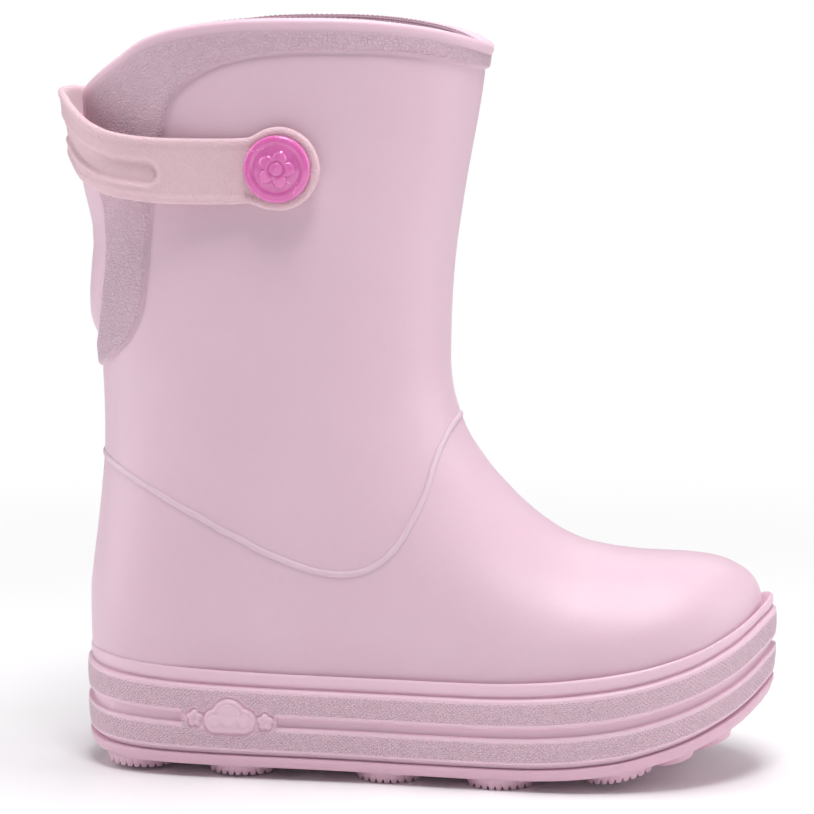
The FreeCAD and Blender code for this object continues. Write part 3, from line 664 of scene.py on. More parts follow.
def knit(name, low, high, su="su", sv="sv", pitch=0.9):
    """Fine knitted cloth in ribs along the leg."""
    g = Nodes(name)
    u, v = g.attr(su), g.attr(sv)
    a = g.math("MULTIPLY", u, 2 * math.pi / pitch)
    b = g.math("MULTIPLY", v, 2 * math.pi / (pitch * 0.75))
    chev = g.math("ADD", b, g.math("MULTIPLY", g.math("ABSOLUTE", g.math("SINE", g.math("MULTIPLY", a, 0.5))), 2.2))
    loop = g.math("MULTIPLY", g.math("ADD", g.math("SINE", chev), 1.0), 0.5)
    rib = g.math("MULTIPLY", g.math("ADD", g.math("COSINE", a), 1.0), 0.5)
    h = g.math("ADD", g.math("MULTIPLY", loop, 0.5), g.math("MULTIPLY", rib, 0.6))
    fuzz = g.noise(2600.0, 4.0, 0.7)
    col = g.ramp(g.math("ADD", g.math("MULTIPLY", h, 0.6), g.math("MULTIPLY", fuzz, 0.4)), [(0.2, low), (0.8, high)])
    g.link(col, g.p.inputs["Base Color"])
    g.link(g.bump(g.math("ADD", h, g.math("MULTIPLY", fuzz, 0.5)), 0.8, 0.0004), g.p.inputs["Normal"])
    g.set(g.p, Roughness=0.9, Sheen_Weight=0.5, Sheen_Roughness=0.5, Specular_IOR_Level=0.15)
    return g.m


def gloss(name):
    """Translucent glossy plastic of the rivet caps."""
    g = Nodes(name)
    swirl = g.noise(140.0, 3.0, 0.5, distort=0.6)
    tiny = g.noise(1800.0, 2.0, 0.5)
    col = g.ramp(swirl, [(0.30, (0.60, 0.095, 0.36)), (0.70, (0.72, 0.15, 0.46))])
    # painted highlight: convex edges of the cap and its petals (high pointiness) are mixed towards a light pink
    geo = g.n("ShaderNodeNewGeometry")
    col = g.mix(g.math("MULTIPLY", g.ramp(geo.outputs["Pointiness"], [(0.48, (0, 0, 0)), (0.60, (1, 1, 1))]), 0.5), col, (0.92, 0.42, 0.72))
    g.link(col, g.p.inputs["Base Color"])
    g.link(g.bump(tiny, 0.05, 0.0001), g.p.inputs["Normal"])
    g.link(g.math("ADD", g.math("MULTIPLY", g.noise(420.0, 3.0), 0.10), 0.13), g.p.inputs["Roughness"])
    g.set(g.p, Subsurface_Weight=0.45, Subsurface_Scale=0.004, Specular_IOR_Level=0.5, Coat_Weight=0.6, Coat_Roughness=0.06)
    g.p.inputs["Subsurface Radius"].default_value = (1.0, 0.35, 0.7)
    return g.m


def plain_plastic(name):
    g = Nodes(name)
    col = g.ramp(g.noise(160.0, 4.0), [(0.35, (0.70, 0.60, 0.66)), (0.65, (0.80, 0.72, 0.77))])
    g.link(col, g.p.inputs["Base Color"])
    g.link(g.bump(g.noise(2200.0, 3.0), 0.2, 0.0001), g.p.inputs["Normal"])
    g.link(g.math("ADD", g.math("MULTIPLY", g.noise(300.0), 0.2), 0.35), g.p.inputs["Roughness"])
    return g.m


def footbed_cloth(name):
    g = Nodes(name)
    w1 = g.n("ShaderNodeTexWave", wave_type="BANDS", bands_direction="X")
    w2 = g.n("ShaderNodeTexWave", wave_type="BANDS", bands_direction="Y")
    for w in (w1, w2):
        g.link(g.co, w.inputs["Vector"])
        w.inputs["Scale"].default_value = 420.0
        w.inputs["Distortion"].default_value = 1.2
        w.inputs["Detail Scale"].default_value = 3.0
    h = g.math("MAXIMUM", w1.outputs["Fac"], w2.outputs["Fac"])
    fuzz = g.noise(3000.0, 4.0, 0.7)
    col = g.ramp(g.math("ADD", g.math("MULTIPLY", h, 0.5), g.math("MULTIPLY", fuzz, 0.5)),
                 [(0.25, (0.56, 0.36, 0.44)), (0.75, (0.76, 0.57, 0.64))])
    g.link(col, g.p.inputs["Base Color"])
    g.link(g.bump(g.math("ADD", h, fuzz), 0.6, 0.0003), g.p.inputs["Normal"])
    g.set(g.p, Roughness=0.92, Sheen_Weight=0.4, Specular_IOR_Level=0.1)
    return g.m


# upper foam: its collar grain gets painted shade in the hollows, colour (0.61, 0.40, 0.50)
M_UPPER = foam("upper_foam", (0.680, 0.472, 0.564), (0.712, 0.505, 0.596), 0.44, "grain", grain_hollow_shade=(0.61, 0.40, 0.50))
M_OUT = foam("outsole_foam", (0.675, 0.430, 0.530), (0.715, 0.465, 0.565), 0.50, micro=0.8)
M_STRAP = foam("strap_foam", (0.695, 0.480, 0.535), (0.735, 0.518, 0.570), 0.50, "grain", micro=1.4)
M_LINING = knit("lining_knit", (0.40, 0.23, 0.31), (0.66, 0.43, 0.52))
M_BED = footbed_cloth("footbed_cloth")
M_CAP = gloss("rivet_plastic")
M_WASHER = plain_plastic("washer_plastic")

# ------------------------------------------------------------------ upper
b = Build()
sock(b, 0.0, 3.2, 1.5, 14.0, 440, 150, 110, 46, True, 1.5, (34, 36, 22))

# raised moulded line round the foot, from the heel down to the arch and up to the instep
RIDGE = [(3.7, 91.3), (6.2, 90.3), (11.3, 88.1), (17.5, 85.3), (24.0, 82.2), (30.2, 79.0), (36.3, 76.0), (42.3, 72.6),
         (48.2, 69.7), (53.9, 66.7), (59.7, 64.4), (65.4, 62.3), (71.1, 60.9), (76.8, 60.4), (82.6, 61.2), (88.3, 64.1),
         (93.8, 69.8), (97.6, 76.7), (100.5, 83.2), (102.3, 90.2), (104.2, 95.8), (106.2, 99.8), (108.2, 102.8)]
RIDGE = [(float(BACK(91.3)), 91.3)] + RIDGE[1:-1]
phi_f = math.degrees(math.atan2(PZ - 102.8, PX - 108.2))
r_f = float(INSTEP(phi_f))
RIDGE.append((PX - r_f * math.cos(math.radians(phi_f)), PZ - r_f * math.sin(math.radians(phi_f))))
rr = np.array(RIDGE)
ts = np.concatenate([[0], np.cumsum(np.hypot(*np.diff(rr, axis=0).T))])
rx, rz = pchip(ts, rr[:, 0]), pchip(ts, rr[:, 1])
tq = ts[-1] * (1 - np.cos(np.linspace(0, np.pi, 900))) / 2
half = []
for sd in (-1.0, 1.0):
    x, z = rx(tq), rz(tq)
    y = sd * surface_y(x, z, 0.0, sd)
    y[0] = y[-1] = 0
    half.append(np.stack([x, y, z], 1))
loop = np.vstack([half[0], half[1][-2:0:-1]])
loop, L_ridge = resample_loop(loop, 620)
loop = gauss_loop(loop, 2.0)
eps = 0.4


def body_normal(P):
    """Outward normal of the foot near the points P, from the surface's slope."""
    x, z = P[:, 0], P[:, 2]
    sd = np.where(P[:, 1] < 0, -1.0, 1.0)

    def Y(x, z):
        return np.where(sd < 0, surface_y(x, z, 0.0, -1.0), surface_y(x, z, 0.0, 1.0))
    gx = (Y(x + eps, z) - Y(x - eps, z)) / (2 * eps)
    gz = (Y(x, z + eps) - Y(x, z - eps)) / (2 * eps)
    gx, gz = np.clip(gx, -25, 25), np.clip(gz, -25, 25)
    n = np.stack([-gx, sd, -gz], 1)
    return unit(n)


rn = body_normal(loop)
ends = np.abs(loop[:, 1]) < 3.0
rn[ends & (loop[:, 0] < 50)] = unit(np.array([[-1.0, 0, 0.05]]))
rn[ends & (loop[:, 0] > 50)] = unit(np.array([[0.82, 0, 0.57]]))
rn = unit(gauss_loop(rn, 5.0))
tube(b, loop - rn * 0.08, rn, 0.62, 0.95, 12, grain=0, inside=0, su=0, sv=0)
upper = b.make("upper", M_UPPER)
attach(upper, "boot")
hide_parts("upper_shell")

# ------------------------------------------------------------------ lining
b = Build()
sock(b, 3.30, 4.20, 1.0, 14.0, 440, 70, 40, 24, False, 1.15, (60, 36, 22), edge_wave=0.16)
lining = b.make("lining_sock", M_LINING)
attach(lining, "boot")
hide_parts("lining")

# ------------------------------------------------------------------ sole outline
ctrl = np.array(OUT_L + OUT_M, float)


def closed_spline(P, n):
    """Periodic cubic curve through the points, sampled evenly by length."""
    m = len(P)
    h = np.linalg.norm(np.roll(P, -1, 0) - P, axis=1) ** 0.5
    k = np.concatenate([[0], np.cumsum(h)])
    A = np.zeros((m, m))
    R = np.zeros((m, 2))
    for i in range(m):
        h0, h1 = h[i - 1], h[i]
        A[i, i - 1] += h0 / 6
        A[i, i] += (h0 + h1) / 3
        A[i, (i + 1) % m] += h1 / 6
        R[i] = (P[(i + 1) % m] - P[i]) / h1 - (P[i] - P[i - 1]) / h0
    M2 = np.linalg.solve(A, R)
    out = []
    for i in range(m):
        j = (i + 1) % m
        t = np.linspace(0, h[i], 200, endpoint=False)[:, None]
        a, c = h[i] - t, t
        out.append(M2[i] * a ** 3 / (6 * h[i]) + M2[j] * c ** 3 / (6 * h[i])
                   + (P[i] / h[i] - M2[i] * h[i] / 6) * a + (P[j] / h[i] - M2[j] * h[i] / 6) * c)
    return resample_loop(np.vstack(out), n)


N_S = 1632
OUTL, L_OUT = closed_spline(ctrl, N_S)
KNURL = L_OUT / (N_S // 4)
M_SOLE = foam("sole_foam", (0.730, 0.505, 0.600), (0.765, 0.540, 0.635), 0.46, micro=0.8, knurl_mm=KNURL)
TAN = unit(np.roll(OUTL, -1, 0) - np.roll(OUTL, 1, 0))
NRM = np.stack([TAN[:, 1], -TAN[:, 0]], 1)
if ((OUTL - [100, 0]) * NRM).sum() < 0:
    NRM = -NRM
NRM = unit(gauss_loop(NRM, 6.0))
A_OUT = np.arange(N_S) * L_OUT / N_S
H_REF = 28.0


def knurl(a, bmm, per):
    return np.cos(2 * np.pi * a / per) * np.cos(2 * np.pi * bmm / per)


# generic badge: a puffy cloud between two small five-lobed flowers, centred on the outer side near the heel
jb = int(np.argmin(np.hypot(OUTL[:, 0] - 44.5, OUTL[:, 1] + 32.7)))
A_B, B_B = A_OUT[jb], 0.500 * H_REF
sign_a = 1.0 if TAN[jb, 0] > 0 else -1.0


def badge_sd(p, q):
    """Signed distance to the badge's outline, negative inside; p forward, q up."""
    def circ(x, y, r):
        return np.hypot(p - x, q - y) - r

    def smin(a, c, k=0.5):
        h = np.clip(0.5 + 0.5 * (c - a) / k, 0, 1)
        return c * (1 - h) + a * h - k * h * (1 - h)
    d = circ(-4.0, -0.4, 3.2)
    d = smin(d, circ(0.1, 1.3, 4.6))
    d = smin(d, circ(4.5, 0.0, 3.3))
    d = smin(d, np.maximum(np.abs(p) - 4.6, np.abs(q + 2.0) - 1.6))
    for cx, cy, r in ((-10.1, 0.0, 1.85), (10.6, 0.0, 1.85)):
        rr_ = np.hypot(p - cx, q - cy)
        th = np.arctan2(q - cy, p - cx)
        d = np.minimum(d, rr_ - r * (0.84 + 0.38 * np.abs(np.cos(2.5 * (th - math.pi / 2))) ** 0.7))
    return d


rows = []
rows += [("c", 0.02, -DEPTH), ("c", 0.55, -DEPTH)]
rows += [("i", 9.5, -DEPTH), ("i", 6.2, -DEPTH + 1.0), ("i", 5.4, -6.0), ("i", 5.0, -2.2), ("i", 4.1, -1.75), ("i", 3.4, -1.45),
         ("i", 3.0, -1.05), ("i", 2.72, -0.6), ("i", 2.45, -0.25), ("i", 2.1, -0.04), ("i", 1.7, -0.0), ("i", 1.32, -0.18), ("i", 1.06, -0.55),
         ("i", 0.92, -1.05), ("i", 0.86, -1.7), ("i", 0.84, -2.3)]
for f, ins in ((0.106, 0.90), (0.118, 1.05), (0.126, 1.40), (0.134, 1.85), (0.143, 2.0), (0.151, 1.80), (0.157, 1.15), (0.162, 0.62), (0.168, 0.34), (0.175, 0.16)):
    rows.append(("f", ins, f))
step = KNURL / 4 / H_REF
f = 0.183
while f < 0.440:
    rows.append(("f", 0.0, f))
    f += step
rows += [("f", 0.0, x) for x in (0.4425, 0.446, 0.4495, 0.4535)]
f = 0.4585
while f < 0.552:
    rows.append(("f", 0.0, f))
    f += step * 1.05
rows += [("f", 0.0, x) for x in (0.555, 0.5585, 0.562, 0.566)]
f = 0.5705
while f < 0.812:
    rows.append(("f", 0.0, f))
    f += step
rows += [("f", 0.0, x) for x in (0.817, 0.822, 0.826, 0.830, 0.835, 0.842, 0.856, 0.870)]
rows += [("f", 5.0, 0.875), ("c", 0.6, None), ("c", 0.02, None)]

zf_o, zu_o = FEATHER(OUTL[:, 0]), UNDER(OUTL[:, 0])
h_o = zf_o - zu_o
centre = np.array([100.0, 0.0])
G = []
MASK = []
pa = (A_OUT - A_B) * sign_a
pa = (pa + L_OUT / 2) % L_OUT - L_OUT / 2
in_zone = sm(14.4, 13.4, np.abs(pa))
for kind, p1, p2 in rows:
    if kind == "c":
        XY = centre + (OUTL - centre) * p1
        zf, zu = FEATHER(XY[:, 0]), UNDER(XY[:, 0])
        z = zf + p2 if p2 is not None else zf - 0.875 * (zf - zu)
        G.append(np.column_stack([XY, z]))
        continue
    if kind == "i":
        XY = OUTL - NRM * p1
        G.append(np.column_stack([XY, FEATHER(XY[:, 0]) + p2]))
        continue
    f = p2
    bmm = f * H_REF
    ins = np.full(N_S, float(p1))
    q_up = B_B - bmm
    mask = np.zeros(N_S)
    if 0.18 < f < 0.872 and p1 < 0.5:
        # soft crowning of the two bands, and the lean of the side
        lean = 0.35 * sm(0.58, 0.83, f)
        crown = 0.20 * (1 - ((f - 0.31) / 0.13) ** 2) if f < 0.45 else 0.18 * (1 - ((f - 0.695) / 0.13) ** 2)
        crown = np.clip(crown, -0.3, 0.2)
        chan = sm(0.4435, 0.4565, f) * sm(0.5655, 0.5545, f)
        band = max(float(sm(0.200, 0.216, f) * sm(0.424, 0.408, f)), float(sm(0.592, 0.608, f) * sm(0.806, 0.790, f)))
        groove = float(sm(0.822, 0.836, f))
        ends = in_zone
        kn_mask = np.maximum(band, ends * float(sm(0.200, 0.216, f) * sm(0.806, 0.790, f)))
        chan_d = chan * (1 - ends) * 1.6
        sd = badge_sd(pa, np.full(N_S, q_up))
        moat = np.exp(-((sd - 0.45) / 0.36) ** 2)
        puff = sm(0.28, -0.12, sd) * (0.42 + 0.50 * (1 - np.exp(-np.maximum(0, -sd) / 0.9)))
        puff = puff - 0.34 * np.exp(-((sd + 1.25) / 0.30) ** 2)
        near = sm(1.6, 0.9, sd)
        kn_mask = kn_mask * (1 - near)
        ins = ins + lean - crown * (1 - chan) + chan_d + groove * 1.35
        ins = ins + (0.75 * moat - puff) * near
        mask = kn_mask
    MASK.append((len(G), mask, bmm))
    XY = OUTL - NRM * ins[:, None]
    G.append(np.column_stack([XY, zf_o - f * h_o]))
G = np.stack(G)
KA = np.broadcast_to(A_OUT, G.shape[:2])
KB, KM = np.zeros(G.shape[:2]), np.zeros(G.shape[:2])
for i, m_, bm_ in MASK:
    KB[i], KM[i] = bm_, m_
b = Build()
base = b.add(G, ka=KA.ravel(), kb=KB.ravel(), km=KM.ravel())
b.quads(grid_faces(len(G), N_S, base))
c0 = b.add([[100.0, 0, float(FEATHER(100.0)) - DEPTH]], ka=0, kb=0, km=0)
c1 = b.add([[100.0, 0, float(FEATHER(100.0) - 0.875 * (FEATHER(100.0) - UNDER(100.0)))]], ka=0, kb=0, km=0)
b.tris(fan_faces([base + k for k in range(N_S)], c0, flip=True))
last = base + (len(G) - 1) * N_S
b.tris(fan_faces([last + k for k in range(N_S)], c1))
midsole = b.make("midsole_cup", M_SOLE)
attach(midsole, "boot")
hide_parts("midsole")

# ------------------------------------------------------------------ outsole
b = Build()
sel = np.arange(0, N_S, 4)
OU, NU = OUTL[sel], NRM[sel]
nO = len(sel)
zf_s, zu_s = zf_o[sel], zu_o[sel]
h_s = zf_s - zu_s
prof = [(6.0, 0.877), (1.9, 0.877), (1.1, 0.878), (0.72, 0.883), (0.50, 0.892), (0.42, 0.905), (0.42, 0.922), (0.48, 0.940), (0.64, 0.958), (0.92, 0.975),
        (1.35, 0.989), (1.95, 0.998), (2.7, 1.0), (4.4, 1.0), (4.8, 0.990), (5.4, 0.990), (5.8, 1.0)]
G = [np.column_stack([centre + (OU - centre) * 0.02, 0 * zu_s]), np.column_stack([centre + (OU - centre) * 0.5, 0 * zu_s])]
for k in (0, 1):
    fx = G[k][:, 0]
    G[k][:, 2] = FEATHER(fx) - 0.877 * (FEATHER(fx) - UNDER(fx))
for ins, f in prof:
    XY = OU - NU * ins
    zf_, zu_ = (zf_s, zu_s)
    if f > 0.985:
        xx = XY[:, 0]
        zz = UNDER(xx) + (1 - f) * 28
    else:
        zz = zf_ - f * h_s
    G.append(np.column_stack([XY, zz]))
for k in (0.84, 0.68, 0.5, 0.3, 0.02):
    XY = centre + (OU - centre) * k
    G.append(np.column_stack([XY, UNDER(XY[:, 0])]))
G = np.stack(G)
base = b.add(G)
b.quads(grid_faces(len(G), nO, base))
c0 = b.add([[100.0, 0, G[0][0, 2]]])
c1 = b.add([[100.0, 0, float(UNDER(100.0))]])
b.tris(fan_faces([base + k for k in range(nO)], c0, flip=True))
last = base + (len(G) - 1) * nO
b.tris(fan_faces([last + k for k in range(nO)], c1))

LUGS = [(16, -14.5, 10), (46.5, -19.5, 10), (90, -23.0, 10), (122.5, -28.0, 10), (156.5, -27.0, 10),
        (16, 14.0, 10), (47, 17.5, 10), (90, 20.0, 10), (122.5, 26.5, 10), (157, 29.0, 10),
        (140, 0.0, 10), (105, -1.0, 10), (177, 0.5, 9), (172, -25.5, 5.3), (182.5, -18.5, 5.3),
        (173, 26.5, 5.3), (183.5, 19.0, 5.3)]


def lug(cx, cy, R, ribbed):
    """Round tread lug on a flared foot, cut across by rounded ribs."""
    pitch, deep = 2.08, 1.05
    shape = [(0.60, 0.0), (0.52, 0.35), (0.44, 0.74), (0.30, 0.95), (0.0, 1.0)]
    xs = []
    k = int(R / pitch) + 1
    for i in range(-k, k + 1):
        c = i * pitch
        half_ = [(c - 2 * u * 0.80, t) for u, t in shape]
        xs += half_ + [(2 * c - x, t) for x, t in half_[::-1][1:]]
    xs = [(x, t) for x, t in xs if abs(x) < R - 0.25] if ribbed else [(x, 1.0) for x in np.linspace(-R + 0.4, R - 0.4, 25)]
    xs = [(-R - 0.95, 1), (-R - 0.6, 1), (-R - 0.3, 1), (-R, 1), (-R + 0.2, 1)] + xs + [(R - 0.2, 1), (R, 1), (R + 0.3, 1), (R + 0.6, 1), (R + 0.95, 1)]
    rk = np.array([R + 1.0, R + 0.6, R + 0.3, R, R - 0.18, R - 0.36])
    ring = []
    for x, tooth in xs:
        gx = cx + x
        U = float(UNDER(gx))
        if gx < 146:
            foot = max(0.0, U - min(3.0, U))
        else:
            foot = U - 3.0 + 0.6 * float(sm(146, 172, gx))
        c = np.sqrt(np.maximum(rk ** 2 - x * x, 0))
        y = np.concatenate([-c, c[::-1]])
        rho = np.hypot(x, y)
        pr = np.interp(rho, [R - 0.36, R - 0.18, R, R + 0.3, R + 0.6, R + 1.0], [1, 0.93, 0.42, 0.20, 0.07, -0.1])
        z = U - (U - foot) * pr + (deep * (1 - tooth) * np.clip(pr, 0, 1) if ribbed else 0)
        P = np.column_stack([np.full_like(y, gx), cy + y, z])
        top = U + 0.9
        P = np.vstack([[gx, cy - c[0], top], P, [gx, cy + c[0], top]])
        ring.append(P)
    Rg = np.array(ring)
    m_ = Rg.shape[1]
    base = b.add(Rg)
    b.quads(grid_faces(len(Rg), m_, base, flip=True))
    for r0, fl in ((base, True), (base + (len(Rg) - 1) * m_, False)):
        c = b.add([Rg[0 if fl else -1].mean(0)])
        b.tris(fan_faces([r0 + k for k in range(m_)], c, flip=not fl))


for cx, cy, R in LUGS:
    lug(cx, cy, R, R > 9.5)
outsole = b.make("outsole_tread", M_OUT)
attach(outsole, "boot")
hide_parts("outsole")

# ------------------------------------------------------------------ footbed
b = Build()
lo_b, hi_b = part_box("insole")
xs = np.array([3, 8, 15, 25, 40, 60, 80, 100, 120, 135, 150, 160, 170, 178, 184, 188], float)
lat, med = [], []
for x in xs:
    z = float(FEATHER(x)) - DEPTH + 9.0
    e = float(quarter((x - BACK(z)) / (30 + 23 * sm(38, 125, z)), 2.15))
    lat.append((x, -float(FOOT_L(x)) * e))
    med.append((x, float(FOOT_M(x)) * e))
bed_ring = [(float(BACK(22)) + 0.1, 0)] + lat + [(TOE - 4.0, -9.5), (TOE - 2.5, 0), (TOE - 4.0, 10.0)] + med[::-1]
io = 3.2 + 0.10 + 0.90 + 0.35
BED, _ = closed_spline(np.array(bed_ring, float), 360)
BT = unit(np.roll(BED, -1, 0) - np.roll(BED, 1, 0))
BN = np.stack([BT[:, 1], -BT[:, 0]], 1)
if ((BED - [100, 0]) * BN).sum() < 0:
    BN = -BN
BN = unit(gauss_loop(BN, 5.0))
rim_in = io + 2.2
BED = BED - BN * rim_in
cb = np.array([95.0, 0.0])
G = []


def bed_row(XY, dz, ref):
    x = XY[:, 0]
    return np.column_stack([XY, FEATHER(x) - DEPTH + io + 0.2 + dz])


for k in (0.02, 0.5, 0.9):
    G.append(bed_row(cb + (BED - cb) * k, 0.0, 0))
for ins, dz in ((0.6, 0.0), (0.15, 0.3), (0.0, 1.0), (0.0, 2.4), (0.12, 3.1), (0.5, 3.5), (1.2, 3.62), (2.4, 3.5), (4.5, 3.2), (8.0, 2.8)):
    G.append(bed_row(BED - BN * ins, dz, 0))
for k, dz in ((0.62, 2.5), (0.5, 2.5), (0.38, 2.55), (0.25, 2.6), (0.12, 2.6), (0.02, 2.6)):
    XY = cb + (BED - cb) * k
    arch = 0.7 * np.exp(-((XY[:, 0] - 75) / 26.0) ** 2) * sm(0, 14, XY[:, 1])
    G.append(bed_row(XY, dz + arch, 0))
G = np.stack(G)
base = b.add(G)
b.quads(grid_faces(len(G), 360, base, flip=True))
c0 = b.add([[95.0, 0, G[0][0, 2]]])
c1 = b.add([[95.0, 0, G[-1][0, 2]]])
b.tris(fan_faces([base + k for k in range(360)], c0))
last = base + (len(G) - 1) * 360
b.tris(fan_faces([last + k for k in range(360)], c1, flip=True))
bed = b.make("footbed", M_BED)
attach(bed, "boot")
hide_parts("insole")

# ------------------------------------------------------------------ pull strap
b = Build()
TH, HW, EYE = 3.0, 9.2, 11.7
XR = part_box("strap")[0].x * 1000.0 + OX
yo = STRAP_OUT
ym = yo - TH / 2
ro = 28.0 - TH / 2
xr_m = XR + TH / 2 + 1.9
pts = [(PIV_X + EYE, -ym)] + [(x, -ym) for x in np.linspace(PIV_X + EYE, xr_m + ro + 0.5, 60)[1:]]
for a in np.linspace(90, -90, 361)[1:-1]:
    ca, sa = math.cos(math.radians(a)), math.sin(math.radians(a))
    pts.append((xr_m + ro - ro * abs(ca) ** 0.92, -ym * (1 if sa > 0 else -1) * abs(sa) ** 0.92))
pts += [(x, ym) for x in np.linspace(xr_m + ro + 0.5, PIV_X + EYE, 60)[:-1]] + [(PIV_X + EYE, ym)]
pts = np.array(pts)
s = np.concatenate([[0], np.cumsum(np.hypot(*np.diff(pts, axis=0).T))])
LS = s[-1]
nq = 520
w = np.linspace(0, 1, nq)
q = LS * w
near = EYE * 2
# finer at both ends so that the eyes come out round
uq = np.linspace(0, 1, nq)
endn = 60
qa = EYE * (1 - np.cos(np.linspace(0, math.pi / 2, endn)))
q = np.concatenate([qa, np.linspace(EYE, LS - EYE, nq - 2 * endn + 2)[1:-1], LS - qa[::-1]])
cx = np.interp(q, s, pts[:, 0])
cy = np.interp(q, s, pts[:, 1])
sx = np.convolve(np.pad(np.interp(np.linspace(0, LS, 2000), s, pts[:, 0]), 20, mode="edge"), np.ones(41) / 41, "valid")
sy = np.convolve(np.pad(np.interp(np.linspace(0, LS, 2000), s, pts[:, 1]), 20, mode="edge"), np.ones(41) / 41, "valid")
tx, ty = np.gradient(sx), np.gradient(sy)
tx = np.interp(q, np.linspace(0, LS, 2000), tx)
ty = np.interp(q, np.linspace(0, LS, 2000), ty)
L_ = np.hypot(tx, ty)
nx, ny = -(ty / L_), tx / L_
flip_n = np.sign((cx - 35) * nx + cy * ny)
nx, ny = nx * np.median(flip_n), ny * np.median(flip_n)
s_mid = pchip([-9, -6, -3, 1.3, 6.6, 12.9, 20, 28, 34], [12.1, 11.8, 10.6, 6.6, 3.3, 1.0, -0.1, -0.8, -0.9])
s_half = pchip([-9, -3, 1.3, 6.6, 12.9, 20, 28, 34], [9.5, 9.9, 10.2, 9.4, 9.1, 9.1, 9.2, 9.2])
zc = PIV_Z + np.where(cx > 34, -0.9, s_mid(np.minimum(cx, 34))) * sm(0, 14, np.minimum(q, LS - q) - EYE)
zc = gauss_open(zc, 5.0)
dq = np.minimum(q, LS - q) - EYE            # negative beyond the pivot, towards the end
eye = np.sqrt(np.maximum(0, EYE ** 2 - dq ** 2))
band_hw = np.where(dq > 0, s_half(np.minimum(cx, 34)), 0.0)
kk = 1.4
hh = np.clip(0.5 + 0.5 * (eye - band_hw) / kk, 0, 1)
hw = np.where(dq > 0, band_hw * (1 - hh) + eye * hh + kk * hh * (1 - hh) * sm(0, 4, dq), eye)
hw = np.maximum(hw, 0.02)
rear = sm(18, -4, cx)
nf, nb = 47, 21
uf = np.linspace(-1, 1, nf)
uf = np.sign(uf) * (1 - (1 - np.abs(uf)) ** 1.5)
ub = np.linspace(1, -1, nb)


def face_h(t, qi):
    e_band = np.where(dq[qi] > -0.01, hw[qi] - np.abs(t), -5.0)
    e_eye = EYE - np.hypot(dq[qi], t)
    e = np.maximum(np.where(dq[qi] > 6, e_band, np.minimum(e_band, 99)), e_eye)
    e = np.maximum(e, 0)
    r = 1.15
    edge = np.where(e < r, -r + np.sqrt(np.maximum(0, r * r - (r - np.minimum(e, r)) ** 2)), 0)
    dish = -0.40 * sm(1.5, 3.1, e)
    # long recess in the part behind the leg
    qa_ = np.abs(q[qi] - LS / 2)
    Lc = LS / 2 - EYE - 34.0
    dcap = np.hypot(np.maximum(0, qa_ - (Lc - 3.1)), t + 1.0) - 3.1
    soft = 1.0 - 0.45 * sm(34.0, 12.0, qa_)
    grv = -1.15 * soft * sm(0.5, -0.6, dcap)
    lip = 0.24 * soft * np.exp(-((dcap - 0.75) / 0.6) ** 2)
    return TH / 2 + edge + dish + grv + lip


ringrows = []
for i in range(nq):
    t = uf * hw[i]
    hF = face_h(t, i)
    outx = cx[i] + nx[i] * hF
    outy = cy[i] + ny[i] * hF
    tb = ub * hw[i]
    eb_ = np.maximum(0, hw[i] - np.abs(tb))
    hB = -TH / 2 + 0.55 + np.where(eb_ < 0.8, 0.8 - np.sqrt(np.maximum(0, 0.64 - (0.8 - np.minimum(eb_, 0.8)) ** 2)), 0)
    bx = cx[i] + nx[i] * hB
    by = cy[i] + ny[i] * hB
    tilt_f = (0.105 * t - 0.0065 * (t - 9.0) ** 2 * (t < 0) * 0.35) * rear[i]
    tilt_b = (0.105 * tb - 0.0065 * (tb - 9.0) ** 2 * (tb < 0) * 0.35) * rear[i]
    F = np.column_stack([outx + nx[i] * tilt_f, outy + ny[i] * tilt_f, zc[i] + t])
    Bk = np.column_stack([bx + nx[i] * tilt_b, by + ny[i] * tilt_b, zc[i] + tb])
    ringrows.append(np.vstack([F, Bk]))
S = np.stack(ringrows)
C = S.shape[1]
FR = np.zeros(S.shape[:2])
FR[:, :nf] = 0.30
base = b.add(S, grain=FR.ravel())
b.quads(grid_faces(nq, C, base))
for r0, row, fl in ((base, S[0], True), (base + (nq - 1) * C, S[-1], False)):
    c = b.add([row.mean(0)], grain=0)
    b.tris(fan_faces([r0 + k for k in range(C)], c, flip=fl))
strap = b.make("pull_strap", M_STRAP)
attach(strap, "strap")
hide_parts("strap")

# ------------------------------------------------------------------ rivet caps
CR = (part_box("rivet_cap_right")[1].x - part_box("rivet_cap_right")[0].x) * 500.0
CT = 2.6
seat = CAP_OUT - CT
tail = -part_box("rivet_cap_right")[1].y * 1000.0


def flower(r, th):
    """Five soft petals and a round heart, as heights from 0 to 1."""
    petal = 5.0 * (0.62 + 0.42 * np.abs(np.cos(2.5 * th)) ** 0.8)
    pet = sm(0.35, -0.55, r - petal)
    heart = sm(0.3, -0.4, r - 1.65)
    gap = np.exp(-((r - 2.15) / 0.38) ** 2)
    return np.clip(pet - 0.75 * gap, 0, 1) + 0.25 * heart


